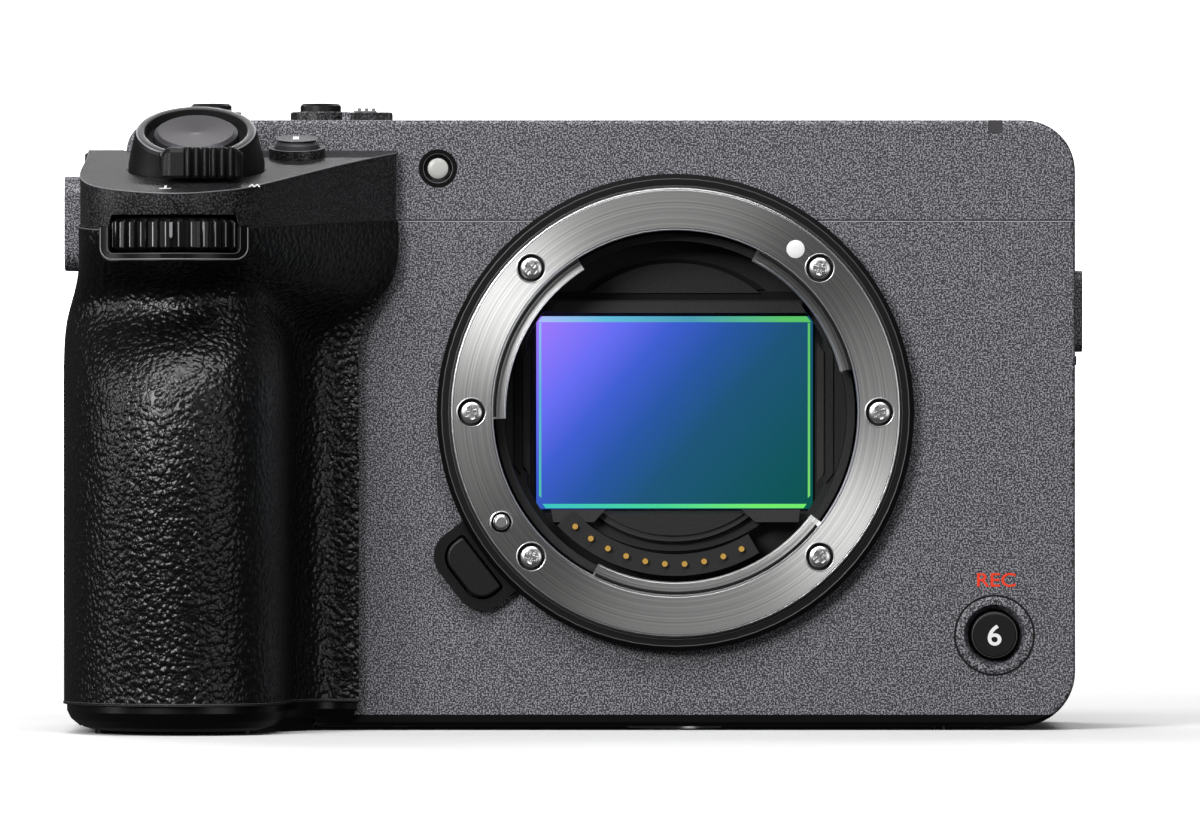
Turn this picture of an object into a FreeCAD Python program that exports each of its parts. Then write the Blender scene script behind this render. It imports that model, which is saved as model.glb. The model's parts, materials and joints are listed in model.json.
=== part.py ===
import FreeCAD, Part
import math
import os
from types import SimpleNamespace

import Sketcher
from FreeCAD import Placement, Rotation, Vector

# Cinema camera body: X to the right seen from the front, the lens looks along -Y, Z is up.
# The origin is the mouth of the tripod socket, on the base plane and below the image plane.

SIZES = {
    # Case
    "case_right": 51.0,
    "case_left": 70.0,
    "case_base": 0.5,
    "case_front": 14.8,
    "case_rear": 29.5,
    "case_wall": 1.5,
    "case_split": 5.0,
    "top_parting": 65.0,
    "base_parting": 2.0,
    "corner_upper": 6.5,
    "corner_lower": 7.0,
    "corner_shoulder": 4.0,
    "edge_round": 0.6,
    # Heights above the seam under the top cover
    "case_top": 12.8,
    "deck_back": 8.9,
    "lever_z": 11.0,
    "front_dial_z": -2.3,
    "rear_dial_z": 6.0,
    "light_sensor_z": 6.63,
    "grip_thread_z": -0.25,
    # Heights above the top plate
    "cap_top": 2.5,
    "collar_top": 1.4,
    # Lens mount
    "lens_height": 40.5,
    "flange_depth": 18.0,
    "ring_outer": 28.6,
    "ring_throat": 23.2,
    "ring_thickness": 2.6,
    "ear_throat": 21.6,
    "ear_thickness": 1.2,
    "ear_recess": 0.9,
    "trim_outer": 30.4,
    "trim_height": 2.6,
    "fit_gap": 0.1,
    "seat_gap": 0.05,
    "screw_circle": 25.96,
    "screw_head": 1.34,
    "screw_recess": 1.77,
    "screw_shank": 0.7,
    "post_depth": 2.5,
    "post_radius": 2.1,
    "lock_pin_circle": 26.2,
    "lock_pin_angle": 212.2,
    "lock_pin_radius": 1.0,
    "lock_pin_proud": 1.4,
    "release_angle": 217.6,
    "release_inner": 31.1,
    "release_outer": 34.8,
    "release_half": 4.1,
    "release_height": 1.9,
    "release_travel": 1.6,
    "contact_circle": 19.35,
    "contact_pin_radius": 0.36,
    "contact_first": 228.7,
    "contact_step": 7.47,
    # Image sensor
    "sensor_width": 35.6,
    "sensor_height": 24.8,
    "aperture_radius": 21.2,
    "stage_travel": 1.0,
    # Grip
    "grip_left": 77.6,
    "grip_front": 49.5,
    "grip_foot": 3.7,
    "grip_edge": 40.3,
    "grip_overhang": 35.3,
    "grip_strip": 2.2,
    "skin": 1.2,
    "deck_slope": 10.0,
    "deck_parting_slope": 3.0,
    # Battery and its door
    "battery_width": 22.6,
    "battery_depth": 38.6,
    "battery_height": 46.0,
    "battery_right": 52.4,
    "battery_front": 29.0,
    "battery_gap": 0.4,
    "chamber_wall": 1.2,
    "door_thickness": 1.9,
    "door_gap": 0.25,
    "door_pivot": 47.0,
    "hinge_slack": 0.03,
    # Zoom lever and shutter button
    "lever_x": -60.5,
    "lever_y": -32.3,
    "lever_tilt": 26.0,
    "lever_rim": 7.45,
    "lever_skirt": 8.6,
    "lever_bore": 6.5,
    "lever_height": 5.3,
    "shutter_radius": 5.25,
    # Deck button
    "deck_button_x": -48.1,
    "deck_button_y": -20.0,
    "deck_button_radius": 2.75,
    "deck_collar": 3.6,
    "deck_button_travel": 0.5,
    "shutter_travel": 1.0,
    "shutter_stem": 6.2,
    # Dials
    "front_dial_x": -62.8,
    "front_dial_y": -39.9,
    "front_dial_radius": 9.3,
    "front_dial_width": 4.2,
    "rear_dial_x": -57.0,
    "rear_dial_radius": 8.5,
    "rear_dial_width": 4.2,
    "dial_gap": 0.4,
    "axle_radius": 1.5,
    "axle_end": 1.0,
    # Top plate
    "cap_radius": 2.63,
    "collar_radius": 3.85,
    "left_button_x": -59.7,
    "right_button_x": -45.6,
    "top_button_y": 2.0,
    "button_gap": 0.2,
    "button_travel": 0.6,
    "light_sensor_x": -30.26,
    "light_sensor_radius": 2.45,
    "tally_x": 40.8,
    "tally_width": 1.8,
    "tally_height": 1.7,
    "shoe_width": 18.7,
    "shoe_slot": 12.6,
    "shoe_channel": 2.1,
    "shoe_lip": 0.9,
    "shoe_wall": 1.0,
    "shoe_front": -4.0,
    # Threads, all quarter-inch tripod size
    "thread_bore": 2.6,
    "insert_outer": 4.6,
    "insert_length": 6.8,
    "thread_length": 6.0,
    "insert_x": 25.0,
    "insert_y": 8.0,
    "tripod_outer": 6.0,
    "side_thread_y": -2.0,
    "side_thread_z": 53.5,
    "boss_proud": 1.2,
    # Record button on the front
    "record_x": 40.68,
    "record_z": 12.13,
    "record_ring": 5.06,
    "record_recess": 3.9,
    "record_cap": 3.0,
    "record_proud": 0.6,
    # Rear controls
    "wheel_x": -56.5,
    "wheel_z": 30.0,
    "wheel_radius": 9.6,
    "wheel_bore": 4.6,
    "joystick_x": -47.5,
    "joystick_z": 52.0,
    "joystick_ball": 1.7,
    "joystick_depth": 2.0,
    "rear_key_radius": 2.5,
    # Monitor
    "screen_left": 38.5,
    "screen_right": 44.4,
    "screen_bottom": 7.0,
    "screen_top": 63.4,
    "screen_thickness": 5.2,
    "screen_gap": 0.3,
    "monitor_hinge_x": 47.6,
    "hinge_radius": 2.45,
    # Side doors
    "card_door_front": 11.4,
    "card_door_rear": 20.6,
    "card_door_bottom": 22.0,
    "card_door_top": 57.0,
    "card_door_depth": 2.2,
    "card_gap": 2.4,
    "card_pitch": 4.8,
    "port_door_front": 6.2,
    "port_door_rear": 25.0,
    "port_door_bottom": 12.0,
    "port_door_top": 48.1,
    # Electronics and cooling
    "board_front": 7.0,
    "board_back": 8.6,
    "fan_x": 27.0,
    "fan_z": 38.0,
    "fan_radius": 11.0,
    "fan_hub": 4.2,
    "fan_width": 5.0,
}


class Size:
    """A size with its value and the sheet formula that gives it."""

    def __init__(self, value, formula):
        self.value = value
        self.formula = formula

    def __add__(self, other):
        other = as_size(other)
        return Size(self.value + other.value, f"({self.formula} + {other.formula})")

    def __radd__(self, other):
        return as_size(other) + self

    def __sub__(self, other):
        other = as_size(other)
        return Size(self.value - other.value, f"({self.formula} - {other.formula})")

    def __rsub__(self, other):
        return as_size(other) - self

    def __mul__(self, other):
        other = as_size(other)
        return Size(self.value * other.value, f"({self.formula} * {other.formula})")

    def __rmul__(self, other):
        return as_size(other) * self

    def __truediv__(self, other):
        other = as_size(other)
        return Size(self.value / other.value, f"({self.formula} / {other.formula})")

    def __neg__(self):
        return as_size(0) - self


def as_size(number):
    """A plain number as a size."""
    if isinstance(number, Size):
        return number
    return Size(float(number), f"({float(number):.9f})")


def sine(angle):
    angle = as_size(angle)
    return Size(math.sin(math.radians(angle.value)), f"sin({angle.formula} * 1 deg)")


def cosine(angle):
    angle = as_size(angle)
    return Size(math.cos(math.radians(angle.value)), f"cos({angle.formula} * 1 deg)")


doc = FreeCAD.newDocument("cinema_camera")
sheet = doc.addObject("Spreadsheet::Sheet", "Sizes")
for row, (word, value) in enumerate(SIZES.items(), start=1):
    sheet.set(f"A{row}", word)
    sheet.set(f"B{row}", str(value))
    sheet.setAlias(f"B{row}", word)
doc.recompute()
S = SimpleNamespace(**{word: Size(float(value), f"Sizes.{word}") for word, value in SIZES.items()})
for word in ("case_top", "deck_back", "lever_z", "front_dial_z", "rear_dial_z", "light_sensor_z",
             "grip_thread_z"):
    setattr(S, word, S.top_parting + getattr(S, word))
for word in ("cap_top", "collar_top"):
    setattr(S, word, S.case_top + getattr(S, word))

NODES = {}
TURNS = {
    "x": Rotation(Vector(0, 1, 0), 90),
    "y": Rotation(Vector(1, 0, 0), -90),
    "z": Rotation(),
    "front": Rotation(Vector(1, 0, 0), 90),
}
FAR = 200
# Lens mount pieces are drawn with Z forward from the image plane, then turned to face -Y.
MOUNT_AT = (0, 0, S.lens_height)
MOUNT_TURN = TURNS["front"]
SCREW_ANGLES = (0, 45, 135, 180, 225, 315)


def bind(item, name, size):
    """Sets one property and ties it to the sheet."""
    size = as_size(size)
    setattr(item, name, size.value)
    item.setExpression(name, size.formula)


def put(item, at, turn=None, angle=None):
    """Places an object at a bound point, with a fixed turn or a bound angle."""
    at = [as_size(part) for part in at]
    item.Placement = Placement(Vector(*[part.value for part in at]), turn or Rotation())
    for letter, part in zip("xyz", at):
        item.setExpression(f"Placement.Base.{letter}", part.formula)
    if angle is not None:
        item.setExpression("Placement.Rotation.Angle", as_size(angle).formula)
    return item


def box(name, x, y, z):
    """A box between two x, two y and two z values."""
    item = doc.addObject("Part::Box", name)
    for prop, (low, high) in zip(("Length", "Width", "Height"), (x, y, z)):
        bind(item, prop, as_size(high) - low)
    return put(item, (x[0], y[0], z[0]))


def rod(name, axis, at, radius, length, sweep=None):
    """A cylinder along an axis from its low end, or a sector of one."""
    item = doc.addObject("Part::Cylinder", name)
    bind(item, "Radius", radius)
    bind(item, "Height", length)
    if sweep is not None:
        bind(item, "Angle", sweep)
    return put(item, at, TURNS[axis])


def fuse(name, *pieces):
    item = doc.addObject("Part::MultiFuse", name)
    item.Shapes = list(pieces)
    item.Refine = True
    return item


def cut(name, base, *tools):
    item = doc.addObject("Part::Cut", name)
    item.Base = base
    item.Tool = tools[0] if len(tools) == 1 else fuse(name + "_tools", *tools)
    return item


def common(name, base, other):
    item = doc.addObject("Part::Common", name)
    item.Base = base
    item.Tool = other
    return item


def copy_of(source, name):
    """A second use of a shape, tied to the first."""
    item = doc.addObject("Part::Compound", name)
    item.Links = [source]
    return item


def group(name, pieces):
    item = doc.addObject("Part::Compound", name)
    item.Links = list(pieces)
    return item


def dress(kind, name, base, size, wanted):
    """Rounds or chamfers the edges of a shape that a test picks out."""
    doc.recompute()
    item = doc.addObject(kind, name)
    item.Base = base
    radius = as_size(size).value
    edges = base.Shape.Edges
    item.Edges = [(i + 1, radius, radius) for i, edge in enumerate(edges) if wanted(edge)]
    if not item.Edges:
        raise ValueError(f"no edges picked for {name}")
    return item


def rounded(name, base, size, wanted):
    return dress("Part::Fillet", name, base, size, wanted)


def chamfered(name, base, size, wanted):
    return dress("Part::Chamfer", name, base, size, wanted)


def all_at(letter, value):
    """A test for edges that lie wholly at one coordinate."""
    value = as_size(value).value
    low, high = letter.upper() + "Min", letter.upper() + "Max"

    def wanted(edge):
        bounds = edge.BoundBox
        return abs(getattr(bounds, low) - value) < 0.01 and abs(getattr(bounds, high) - value) < 0.01

    return wanted


def outline(body, name, plane, corners, offset):
    """A closed sketch through corners (u, v) or (u, v, radius), all tied to the sheet."""
    sketch = body.newObject("Sketcher::SketchObject", name)
    support = [item for item in body.Origin.OriginFeatures if item.Role == plane][0]
    sketch.AttachmentSupport = (support, [""])
    sketch.MapMode = "FlatFace"
    sketch.AttachmentOffset = Placement(Vector(0, 0, as_size(offset).value), Rotation())
    sketch.setExpression("AttachmentOffset.Base.z", as_size(offset).formula)
    places = [(as_size(c[0]), as_size(c[1])) for c in corners]
    radii = [as_size(c[2]) if len(c) > 2 else None for c in corners]
    count = len(corners)
    points = [Vector(u.value, v.value, 0) for u, v in places]
    starts, ends, arcs = list(points), list(points), {}
    for i, radius in enumerate(radii):
        if radius is None:
            continue
        before = (points[i - 1] - points[i]).normalize()
        after = (points[(i + 1) % count] - points[i]).normalize()
        half = before.getAngle(after) / 2
        reach = radius.value / math.tan(half)
        ends[i] = points[i] + before * reach
        starts[i] = points[i] + after * reach
        centre = points[i] + (before + after).normalize() * (radius.value / math.sin(half))
        left_turn = before.cross(after).z < 0
        first, last = (ends[i], starts[i]) if left_turn else (starts[i], ends[i])
        begin = math.atan2(first.y - centre.y, first.x - centre.x)
        finish = math.atan2(last.y - centre.y, last.x - centre.x)
        arcs[i] = (Part.ArcOfCircle(Part.Circle(centre, Vector(0, 0, 1), radius.value),
                                    begin, finish), left_turn)
    lines = [sketch.addGeometry(Part.LineSegment(starts[i], ends[(i + 1) % count]), False)
             for i in range(count)]
    for i, (u, v) in enumerate(places):
        before, after = lines[i - 1], lines[i]
        if radii[i] is None:
            sketch.addConstraint(Sketcher.Constraint("Coincident", before, 2, after, 1))
            target, end = after, 1
        else:
            shape, left_turn = arcs[i]
            arc = sketch.addGeometry(shape, False)
            first, last = (1, 2) if left_turn else (2, 1)
            sketch.addConstraint(Sketcher.Constraint("Tangent", before, 2, arc, first))
            sketch.addConstraint(Sketcher.Constraint("Tangent", after, 1, arc, last))
            index = sketch.addConstraint(Sketcher.Constraint("Radius", arc, radii[i].value))
            sketch.setExpression(f"Constraints[{index}]", radii[i].formula)
            target, end = sketch.addGeometry(Part.Point(points[i]), True), 1
            sketch.addConstraint(Sketcher.Constraint("PointOnObject", target, 1, before))
            sketch.addConstraint(Sketcher.Constraint("PointOnObject", target, 1, after))
        for kind, size in (("DistanceX", u), ("DistanceY", v)):
            index = sketch.addConstraint(Sketcher.Constraint(kind, -1, 1, target, end, size.value))
            sketch.setExpression(f"Constraints[{index}]", size.formula)
    return sketch


def extruded(name, plane, corners, low, high):
    """A body: an outline on XY, XZ or YZ, padded between two places along the normal."""
    body = doc.addObject("PartDesign::Body", name)
    low, high = as_size(low), as_size(high)
    offset = -high if plane == "XZ" else low
    pad = body.newObject("PartDesign::Pad", name + "_pad")
    pad.Profile = outline(body, name + "_outline", plane + "_Plane", corners, offset)
    bind(pad, "Length", high - low)
    body.Tip = pad
    return body


def revolved(name, corners, at, turn="z"):
    """A body: an outline of (radius, height) corners, turned about its own upright axis."""
    body = doc.addObject("PartDesign::Body", name)
    sketch = outline(body, name + "_outline", "XZ_Plane", corners, 0)
    turned = body.newObject("PartDesign::Revolution", name + "_turned")
    turned.Profile = sketch
    turned.ReferenceAxis = (sketch, ["V_Axis"])
    turned.Angle = 360
    body.Tip = turned
    return put(body, at, TURNS[turn])


def mounted(name, item):
    """A shape drawn on the lens axis, turned to its place in the mount."""
    return put(copy_of(item, name), MOUNT_AT, MOUNT_TURN)


def keep(name, item, at=None, turn=None, angle=None):
    """Registers an object as one sub-part, under its label."""
    if at is not None:
        if item.TypeId in ("Part::Box", "Part::Cylinder"):
            item = copy_of(item, name + "_seated")
        put(item, at, turn, angle)
    item.Label = name
    NODES[name] = item
    return item


def ring_point(radius, angle):
    """A point on a circle, in the plane of the lens mount."""
    return radius * cosine(angle), radius * sine(angle)



# Heights of the grip's sections as shares of the seam's height, how far each has turned from palm
# to deck form, and how deep its front stands back behind the foremost line.
STATIONS = ((0.0, 0.0, 5.0), (14 / 65, 0.0, 4.0), (28 / 65, 0.0, 2.6), (40 / 65, 0.0, 2.4),
            (47.5 / 65, 0.0, 5.0), (53 / 65, 0.25, 9.6), (57 / 65, 0.8, 8.4), (60.2 / 65, 1.0, 3.0),
            (64 / 65, 1.0, 0.6), (70 / 65, 1.0, 0.0), (78 / 65, 1.0, 0.0))


def grip_row(height, blend, hollow, inset):
    """Points of one grip section: from the right edge round the front and the flank to the rear."""
    left = S.grip_left.value
    front = S.grip_front.value
    case_front = S.case_front.value
    case_left = S.case_left.value
    strip = case_front + S.grip_strip.value
    palm = [
        (-S.grip_edge.value, -strip), (-45.0, -strip - 0.3), (-47.6, -strip - 2.8),
        (-49.3, -strip - 13.0), (-53.0, -front + 4.0), (-62.0, -front), (-70.3, -front + 3.0),
        (-left + 2.2, -front + 11.5), (-left, -case_front - 4.0), (-left, 6.0),
        (-left + 0.5, 19.0), (-left + 3.2, 24.6), (-case_left, 26.6),
    ]
    deck = [
        (-S.grip_overhang.value, -strip), (-40.6, -24.0), (-45.2, -31.3),
        (-52.3, -front + 6.3), (-56.8, -front + 2.0), (-61.6, -front), (-67.2, -front + 1.1),
        (-left + 4.5, -front + 6.0), (-left + 2.6, -case_front - 8.0), (-left + 1.2, 6.0),
        (-left + 1.5, 19.0), (-left + 3.6, 24.6), (-case_left, 26.6),
    ]
    reach = (0.0, 0.0, 0.0, 0.5, 0.9, 1.0, 1.0, 0.8, 0.1, 0.0, 0.0, 0.0, 0.0)
    row = []
    for start, end, share in zip(palm, deck, reach):
        x = start[0] + (end[0] - start[0]) * blend
        y = start[1] + (end[1] - start[1]) * blend + hollow * share
        row.append(Vector(x, y, height))
    return inset_points(row, inset) if inset else row


def beyond_case(solid):
    """What is left of a solid outside the case's block."""
    case = Part.makeBox(FAR, FAR, FAR, Vector(-S.case_left.value, -S.case_front.value, -FAR / 2))
    return solid.cut(case)


def grip_shape(name, low, high, inset):
    """The moulded grip between two heights, under one smooth surface through its sections."""
    seam = S.top_parting.value
    rows = [grip_row(share * seam, blend, hollow, inset) for share, blend, hollow in STATIONS]
    surface = smooth_surface(rows)
    skin = surface.toShape()
    bounds = surface.bounds()
    starts, ends = surface.uIso(bounds[0]).toShape(), surface.uIso(bounds[1]).toShape()
    deep_start, deep_end = Vector(0, 4.0, 0), Vector(4.0, 0, 0)
    starts_in, ends_in = starts.translated(deep_start), ends.translated(deep_end)
    walls = [skin, Part.makeRuledSurface(starts, starts_in), Part.makeRuledSurface(ends, ends_in),
             Part.makeRuledSurface(starts_in, ends_in)]
    for side in (bounds[2], bounds[3]):
        rim = surface.vIso(side).toShape()
        first, last = rim.valueAt(rim.FirstParameter), rim.valueAt(rim.LastParameter)
        loop = [rim, Part.makeLine(last, last + deep_end),
                Part.makeLine(last + deep_end, first + deep_start),
                Part.makeLine(first + deep_start, first)]
        walls.append(Part.Face(Part.Wire(loop)))
    shell = Part.Shell(walls)
    shell.sewShape()
    slab = Part.makeBox(FAR, FAR, high - low, Vector(-FAR / 2, -FAR / 2, low))
    item = doc.addObject("Part::Feature", name)
    item.Shape = beyond_case(Part.makeSolid(shell)).common(slab)
    return item


def foot_slab(name, levels):
    """A slab with the grip's foot outline, ruled through levels of (height, inset)."""
    wires = []
    for height, inset in levels:
        row = [Vector(p.x, p.y, height) for p in grip_row(*STATIONS[0], inset)]
        inside = [row[-1] + Vector(4.0, 0, 0), row[0] + Vector(0, 4.0, 0)]
        wires.append(Part.Wire([smooth_curve(row, row_steps([row])).toShape(),
                                Part.makeLine(row[-1], inside[0]), Part.makeLine(*inside),
                                Part.makeLine(inside[1], row[0])]))
    item = doc.addObject("Part::Feature", name)
    item.Shape = beyond_case(Part.makeLoft(wires, True, True))
    return item


def smooth_curve(points, parameters):
    """A cubic curve through points at given parameters."""
    curve = Part.BSplineCurve()
    curve.interpolate(Points=points, Parameters=parameters)
    return curve


def row_steps(rows):
    """Curve parameters from the mean spacing of the points in several rows."""
    steps = [0.0]
    for i in range(1, len(rows[0])):
        steps.append(steps[-1] + sum(row[i].distanceToPoint(row[i - 1]) for row in rows) / len(rows))
    return steps


def smooth_surface(rows):
    """A cubic surface through rows of points, one row for each height."""
    steps = row_steps(rows)
    heights = [row[0].z for row in rows]
    across = [smooth_curve(row, steps) for row in rows]
    upward = [smooth_curve([curve.getPole(i + 1) for curve in across], heights)
              for i in range(across[0].NbPoles)]
    poles = [curve.getPoles() for curve in upward]
    surface = Part.BSplineSurface()
    surface.buildFromPolesMultsKnots(poles, across[0].getMultiplicities(),
                                     upward[0].getMultiplicities(), across[0].getKnots(),
                                     upward[0].getKnots(), False, False, 3, 3)
    return surface


def inset_points(points, distance):
    """Moves the open row of section points inwards, with its two ends kept on the case."""
    moved = []
    for i, point in enumerate(points):
        before = points[max(i - 1, 0)]
        after = points[min(i + 1, len(points) - 1)]
        along = (after - before).normalize()
        inward = Vector(-along.y, along.x, 0)
        if i == 0:
            moved.append(Vector(point.x - distance, point.y + distance, point.z))
        elif i == len(points) - 1:
            moved.append(Vector(point.x, point.y - distance, point.z))
        else:
            moved.append(point - inward * distance)
    return moved


def sloped_half(name, hinge_y, hinge_z, angle, above):
    """Half of space above or below a plane that falls towards the front."""
    item = doc.addObject("Part::Box", name)
    item.Length = FAR
    item.Width = FAR
    item.Height = FAR
    sunk = 0 if above else FAR
    offset = (-FAR / 2, hinge_y - FAR / 2 * cosine(angle) + sunk * sine(angle),
              hinge_z - FAR / 2 * sine(angle) - sunk * cosine(angle))
    return put(item, offset, Rotation(Vector(1, 0, 0), as_size(angle).value), angle)


def lever_point(across, along, up):
    """A point given in the tilted frame of the zoom lever, from the middle of its top face."""
    tilt = S.lever_tilt
    return (S.lever_x + across,
            S.lever_y + along * cosine(tilt) - up * sine(tilt),
            S.lever_z + along * sine(tilt) + up * cosine(tilt))


def lever_rod(name, radius, low, high):
    """A cylinder on the axis of the zoom lever."""
    item = doc.addObject("Part::Cylinder", name)
    bind(item, "Radius", radius)
    bind(item, "Height", as_size(high) - low)
    turn = Rotation(Vector(1, 0, 0), S.lever_tilt.value)
    return put(item, lever_point(0, 0, low), turn, S.lever_tilt)


def deck_point(up):
    """A point on the axis of the small button, at a distance above the sloping deck."""
    slope = S.deck_slope
    ground = S.deck_back + (S.deck_button_y + S.case_front) * sine(slope) / cosine(slope)
    return S.deck_button_x, S.deck_button_y - up * sine(slope), ground + up * cosine(slope)


def deck_rod(name, radius, low, high):
    """A cylinder on the axis of the small button, square to the sloping deck."""
    item = doc.addObject("Part::Cylinder", name)
    bind(item, "Radius", radius)
    bind(item, "Height", as_size(high) - low)
    turn = Rotation(Vector(1, 0, 0), S.deck_slope.value)
    return put(item, deck_point(low), turn, S.deck_slope)


def case_outline(inset):
    """The rounded front outline of the case, drawn in by one distance."""
    right, left = S.case_right - inset, inset - S.case_left
    base, top = S.case_base + inset, S.case_top - inset
    return [(left, base, S.corner_shoulder - inset), (right, base, S.corner_lower - inset),
            (right, top, S.corner_upper - inset), (left, top, S.corner_shoulder - inset)]


def chamber_box(name, grow):
    """The battery space with its gap, grown by a wall."""
    room = S.battery_gap + grow
    right = -S.battery_right + room
    left = -S.battery_right - S.battery_width - room
    front = -S.battery_front - room
    rear = -S.battery_front + S.battery_depth + room
    top = S.base_parting + S.battery_height + room
    return box(name, (left, right), (front, rear), (-FAR if not grow else S.base_parting, top))


def make_case():
    """The grey shells: front, top and rear covers, and the black bottom cover."""
    block = extruded("case_block", "XZ", case_outline(0), -S.case_front, S.case_rear)
    block = rounded("case_block_front", block, S.edge_round, all_at("y", -S.case_front))
    block = rounded("case_block_rear", block, 2.0, all_at("y", S.case_rear))
    hollow = extruded("case_hollow", "XZ", case_outline(S.case_wall),
                      S.case_wall - S.case_front, S.case_rear - S.case_wall)
    shell = cut("case_shell", block, hollow)
    everywhere = (-FAR, FAR)
    upper = common("top_part", shell, box("above_parting", everywhere, everywhere,
                                          (S.top_parting, FAR)))
    lower = common("bottom_part", shell, box("below_parting", everywhere, everywhere,
                                             (-FAR, S.base_parting)))
    middle = (S.base_parting, S.top_parting)
    front = common("front_part", shell, box("before_split", everywhere, (-FAR, S.case_split), middle))
    rear = common("rear_part", shell, box("behind_split", everywhere, (S.case_split, FAR), middle))
    return upper, lower, front, rear


def make_top_cover(upper):
    """The top cover with its collars, shoe well, thread seats and windows."""
    top = S.case_top
    wall = S.case_wall
    under = top - wall
    button_y = S.top_button_y
    collars = [
        rod("left_collar", "z", (S.left_button_x, button_y, under), S.collar_radius,
            S.collar_top - under),
        rod("right_collar", "z", (S.right_button_x, button_y, under), S.collar_radius,
            S.collar_top - under),
        box("switch_pad", (S.right_button_x + S.collar_radius - 1.0, -36.4),
            (button_y - 3.4, button_y + 3.4), (under, S.collar_top - 0.1)),
    ]
    well_half = S.shoe_width / 2 + S.shoe_wall
    floor = top - S.shoe_lip - S.shoe_channel - S.shoe_wall
    dial_y = rear_dial_y()
    dial_half = S.rear_dial_width / 2 + S.dial_gap
    brackets = [
        box("rear_dial_shelf", (S.rear_dial_x - 3, S.rear_dial_x + 3), (dial_y - 3, S.case_rear - 1),
            (S.rear_dial_z - dial_half - 1.6, S.rear_dial_z - dial_half)),
        box("rear_dial_hanger", (S.rear_dial_x - 3, S.rear_dial_x + 3), (dial_y - 3, S.case_rear - 1),
            (S.rear_dial_z + dial_half, under + 0.5)),
    ]
    pan = box("shoe_pan", (-well_half - wall, well_half + wall),
              (S.shoe_front - wall, S.case_rear - wall), (floor - wall, under))
    seats = [rod(f"thread_seat_{side}", "z", (x, S.insert_y, top - S.insert_length),
                 S.insert_outer + wall, S.insert_length - wall)
             for side, x in (("left", -S.insert_x), ("right", S.insert_x))]
    whole = fuse("top_whole", upper, pan, *collars, *seats, *brackets)
    sensor_at = (S.light_sensor_x, -S.case_front - 1, S.light_sensor_z)
    tally_half = S.tally_width / 2
    cuts = [
        box("shoe_well", (-well_half, well_half), (S.shoe_front, FAR), (floor, FAR)),
        rod("light_hole", "y", sensor_at, S.light_sensor_radius, wall + 1),
        box("tally_notch", (S.tally_x - tally_half, S.tally_x + tally_half),
            (-S.case_front - 1, wall - S.case_front), (top - S.tally_height, FAR)),
        rod("left_button_hole", "z", (S.left_button_x, button_y, under - 1),
            S.cap_radius + S.button_gap, FAR),
        rod("right_button_hole", "z", (S.right_button_x, button_y, under - 1),
            S.cap_radius + S.button_gap, FAR),
        mounted("posts_in_top", fuse("screw_post_rooms", *[
            rod(f"screw_post_room_{i}", "z", (*ring_point(S.screw_circle, angle), 0),
                S.post_radius + S.door_gap, FAR) for i, angle in enumerate(SCREW_ANGLES)])),
        rod("rear_dial_room", "z", (S.rear_dial_x, rear_dial_y(),
                                    S.rear_dial_z - S.rear_dial_width / 2 - S.dial_gap),
            S.rear_dial_radius + S.dial_gap, S.rear_dial_width + 2 * S.dial_gap),
    ]
    cuts += [rod(f"thread_hole_{side}", "z", (x, S.insert_y, top - S.insert_length - 1),
                 S.insert_outer + S.seat_gap, FAR)
             for side, x in (("left", -S.insert_x), ("right", S.insert_x))]
    lugs = strap_lug_shapes()
    keep("strap_lugs", group("strap_lugs", lugs))
    keep("top_cover", cut("top_cover", whole, *cuts, group("lug_notches", lugs)))


def rear_dial_y():
    """The rear dial's axis, so that its rim stands a little behind the case."""
    return S.case_rear - S.rear_dial_radius + 1.4


def make_front_cover(front):
    """The front cover with the mount opening, the record button's hole and the grip side open."""
    wall = S.case_wall
    seat = rod("side_thread_seat", "x", (S.case_right - S.insert_length + S.boss_proud,
                                         S.side_thread_y, S.side_thread_z),
               S.insert_outer + wall, S.insert_length - S.boss_proud - wall)
    whole = fuse("front_whole", front, seat)
    louvres = [box(f"louvre_gap_{i}", (S.case_right - wall - 1, S.case_right + 1),
                   (-10.5, 2.0), (14.0 + 3.2 * i, 15.6 + 3.2 * i)) for i in range(9)]
    cuts = [
        rod("mount_opening", "y", (0, -S.case_front - 1, S.lens_height), S.ring_outer - 0.4, 10),
        mounted("release_in_front", release_form("release_cut", S.release_inner - 3.0,
                                                 S.release_outer + 0.25, S.release_half + 0.25, 2.6,
                                                 S.case_front - 5, S.case_front + 5)),
        rod("record_hole", "y", (S.record_x, -S.case_front - 1, S.record_z), S.record_ring, 5),
        rod("side_thread_hole", "x", (40.0, S.side_thread_y, S.side_thread_z),
            S.insert_outer + S.seat_gap, 20),
        chamber_box("chamber_in_front", S.chamber_wall),
        box("flank_window", (-S.case_left - 1, -S.case_left + wall),
            (-S.battery_front, S.case_split + 1), (S.base_parting, S.top_parting - 6)),
    ]
    keep("front_cover", cut("front_cover", whole, *cuts, *louvres))


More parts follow.
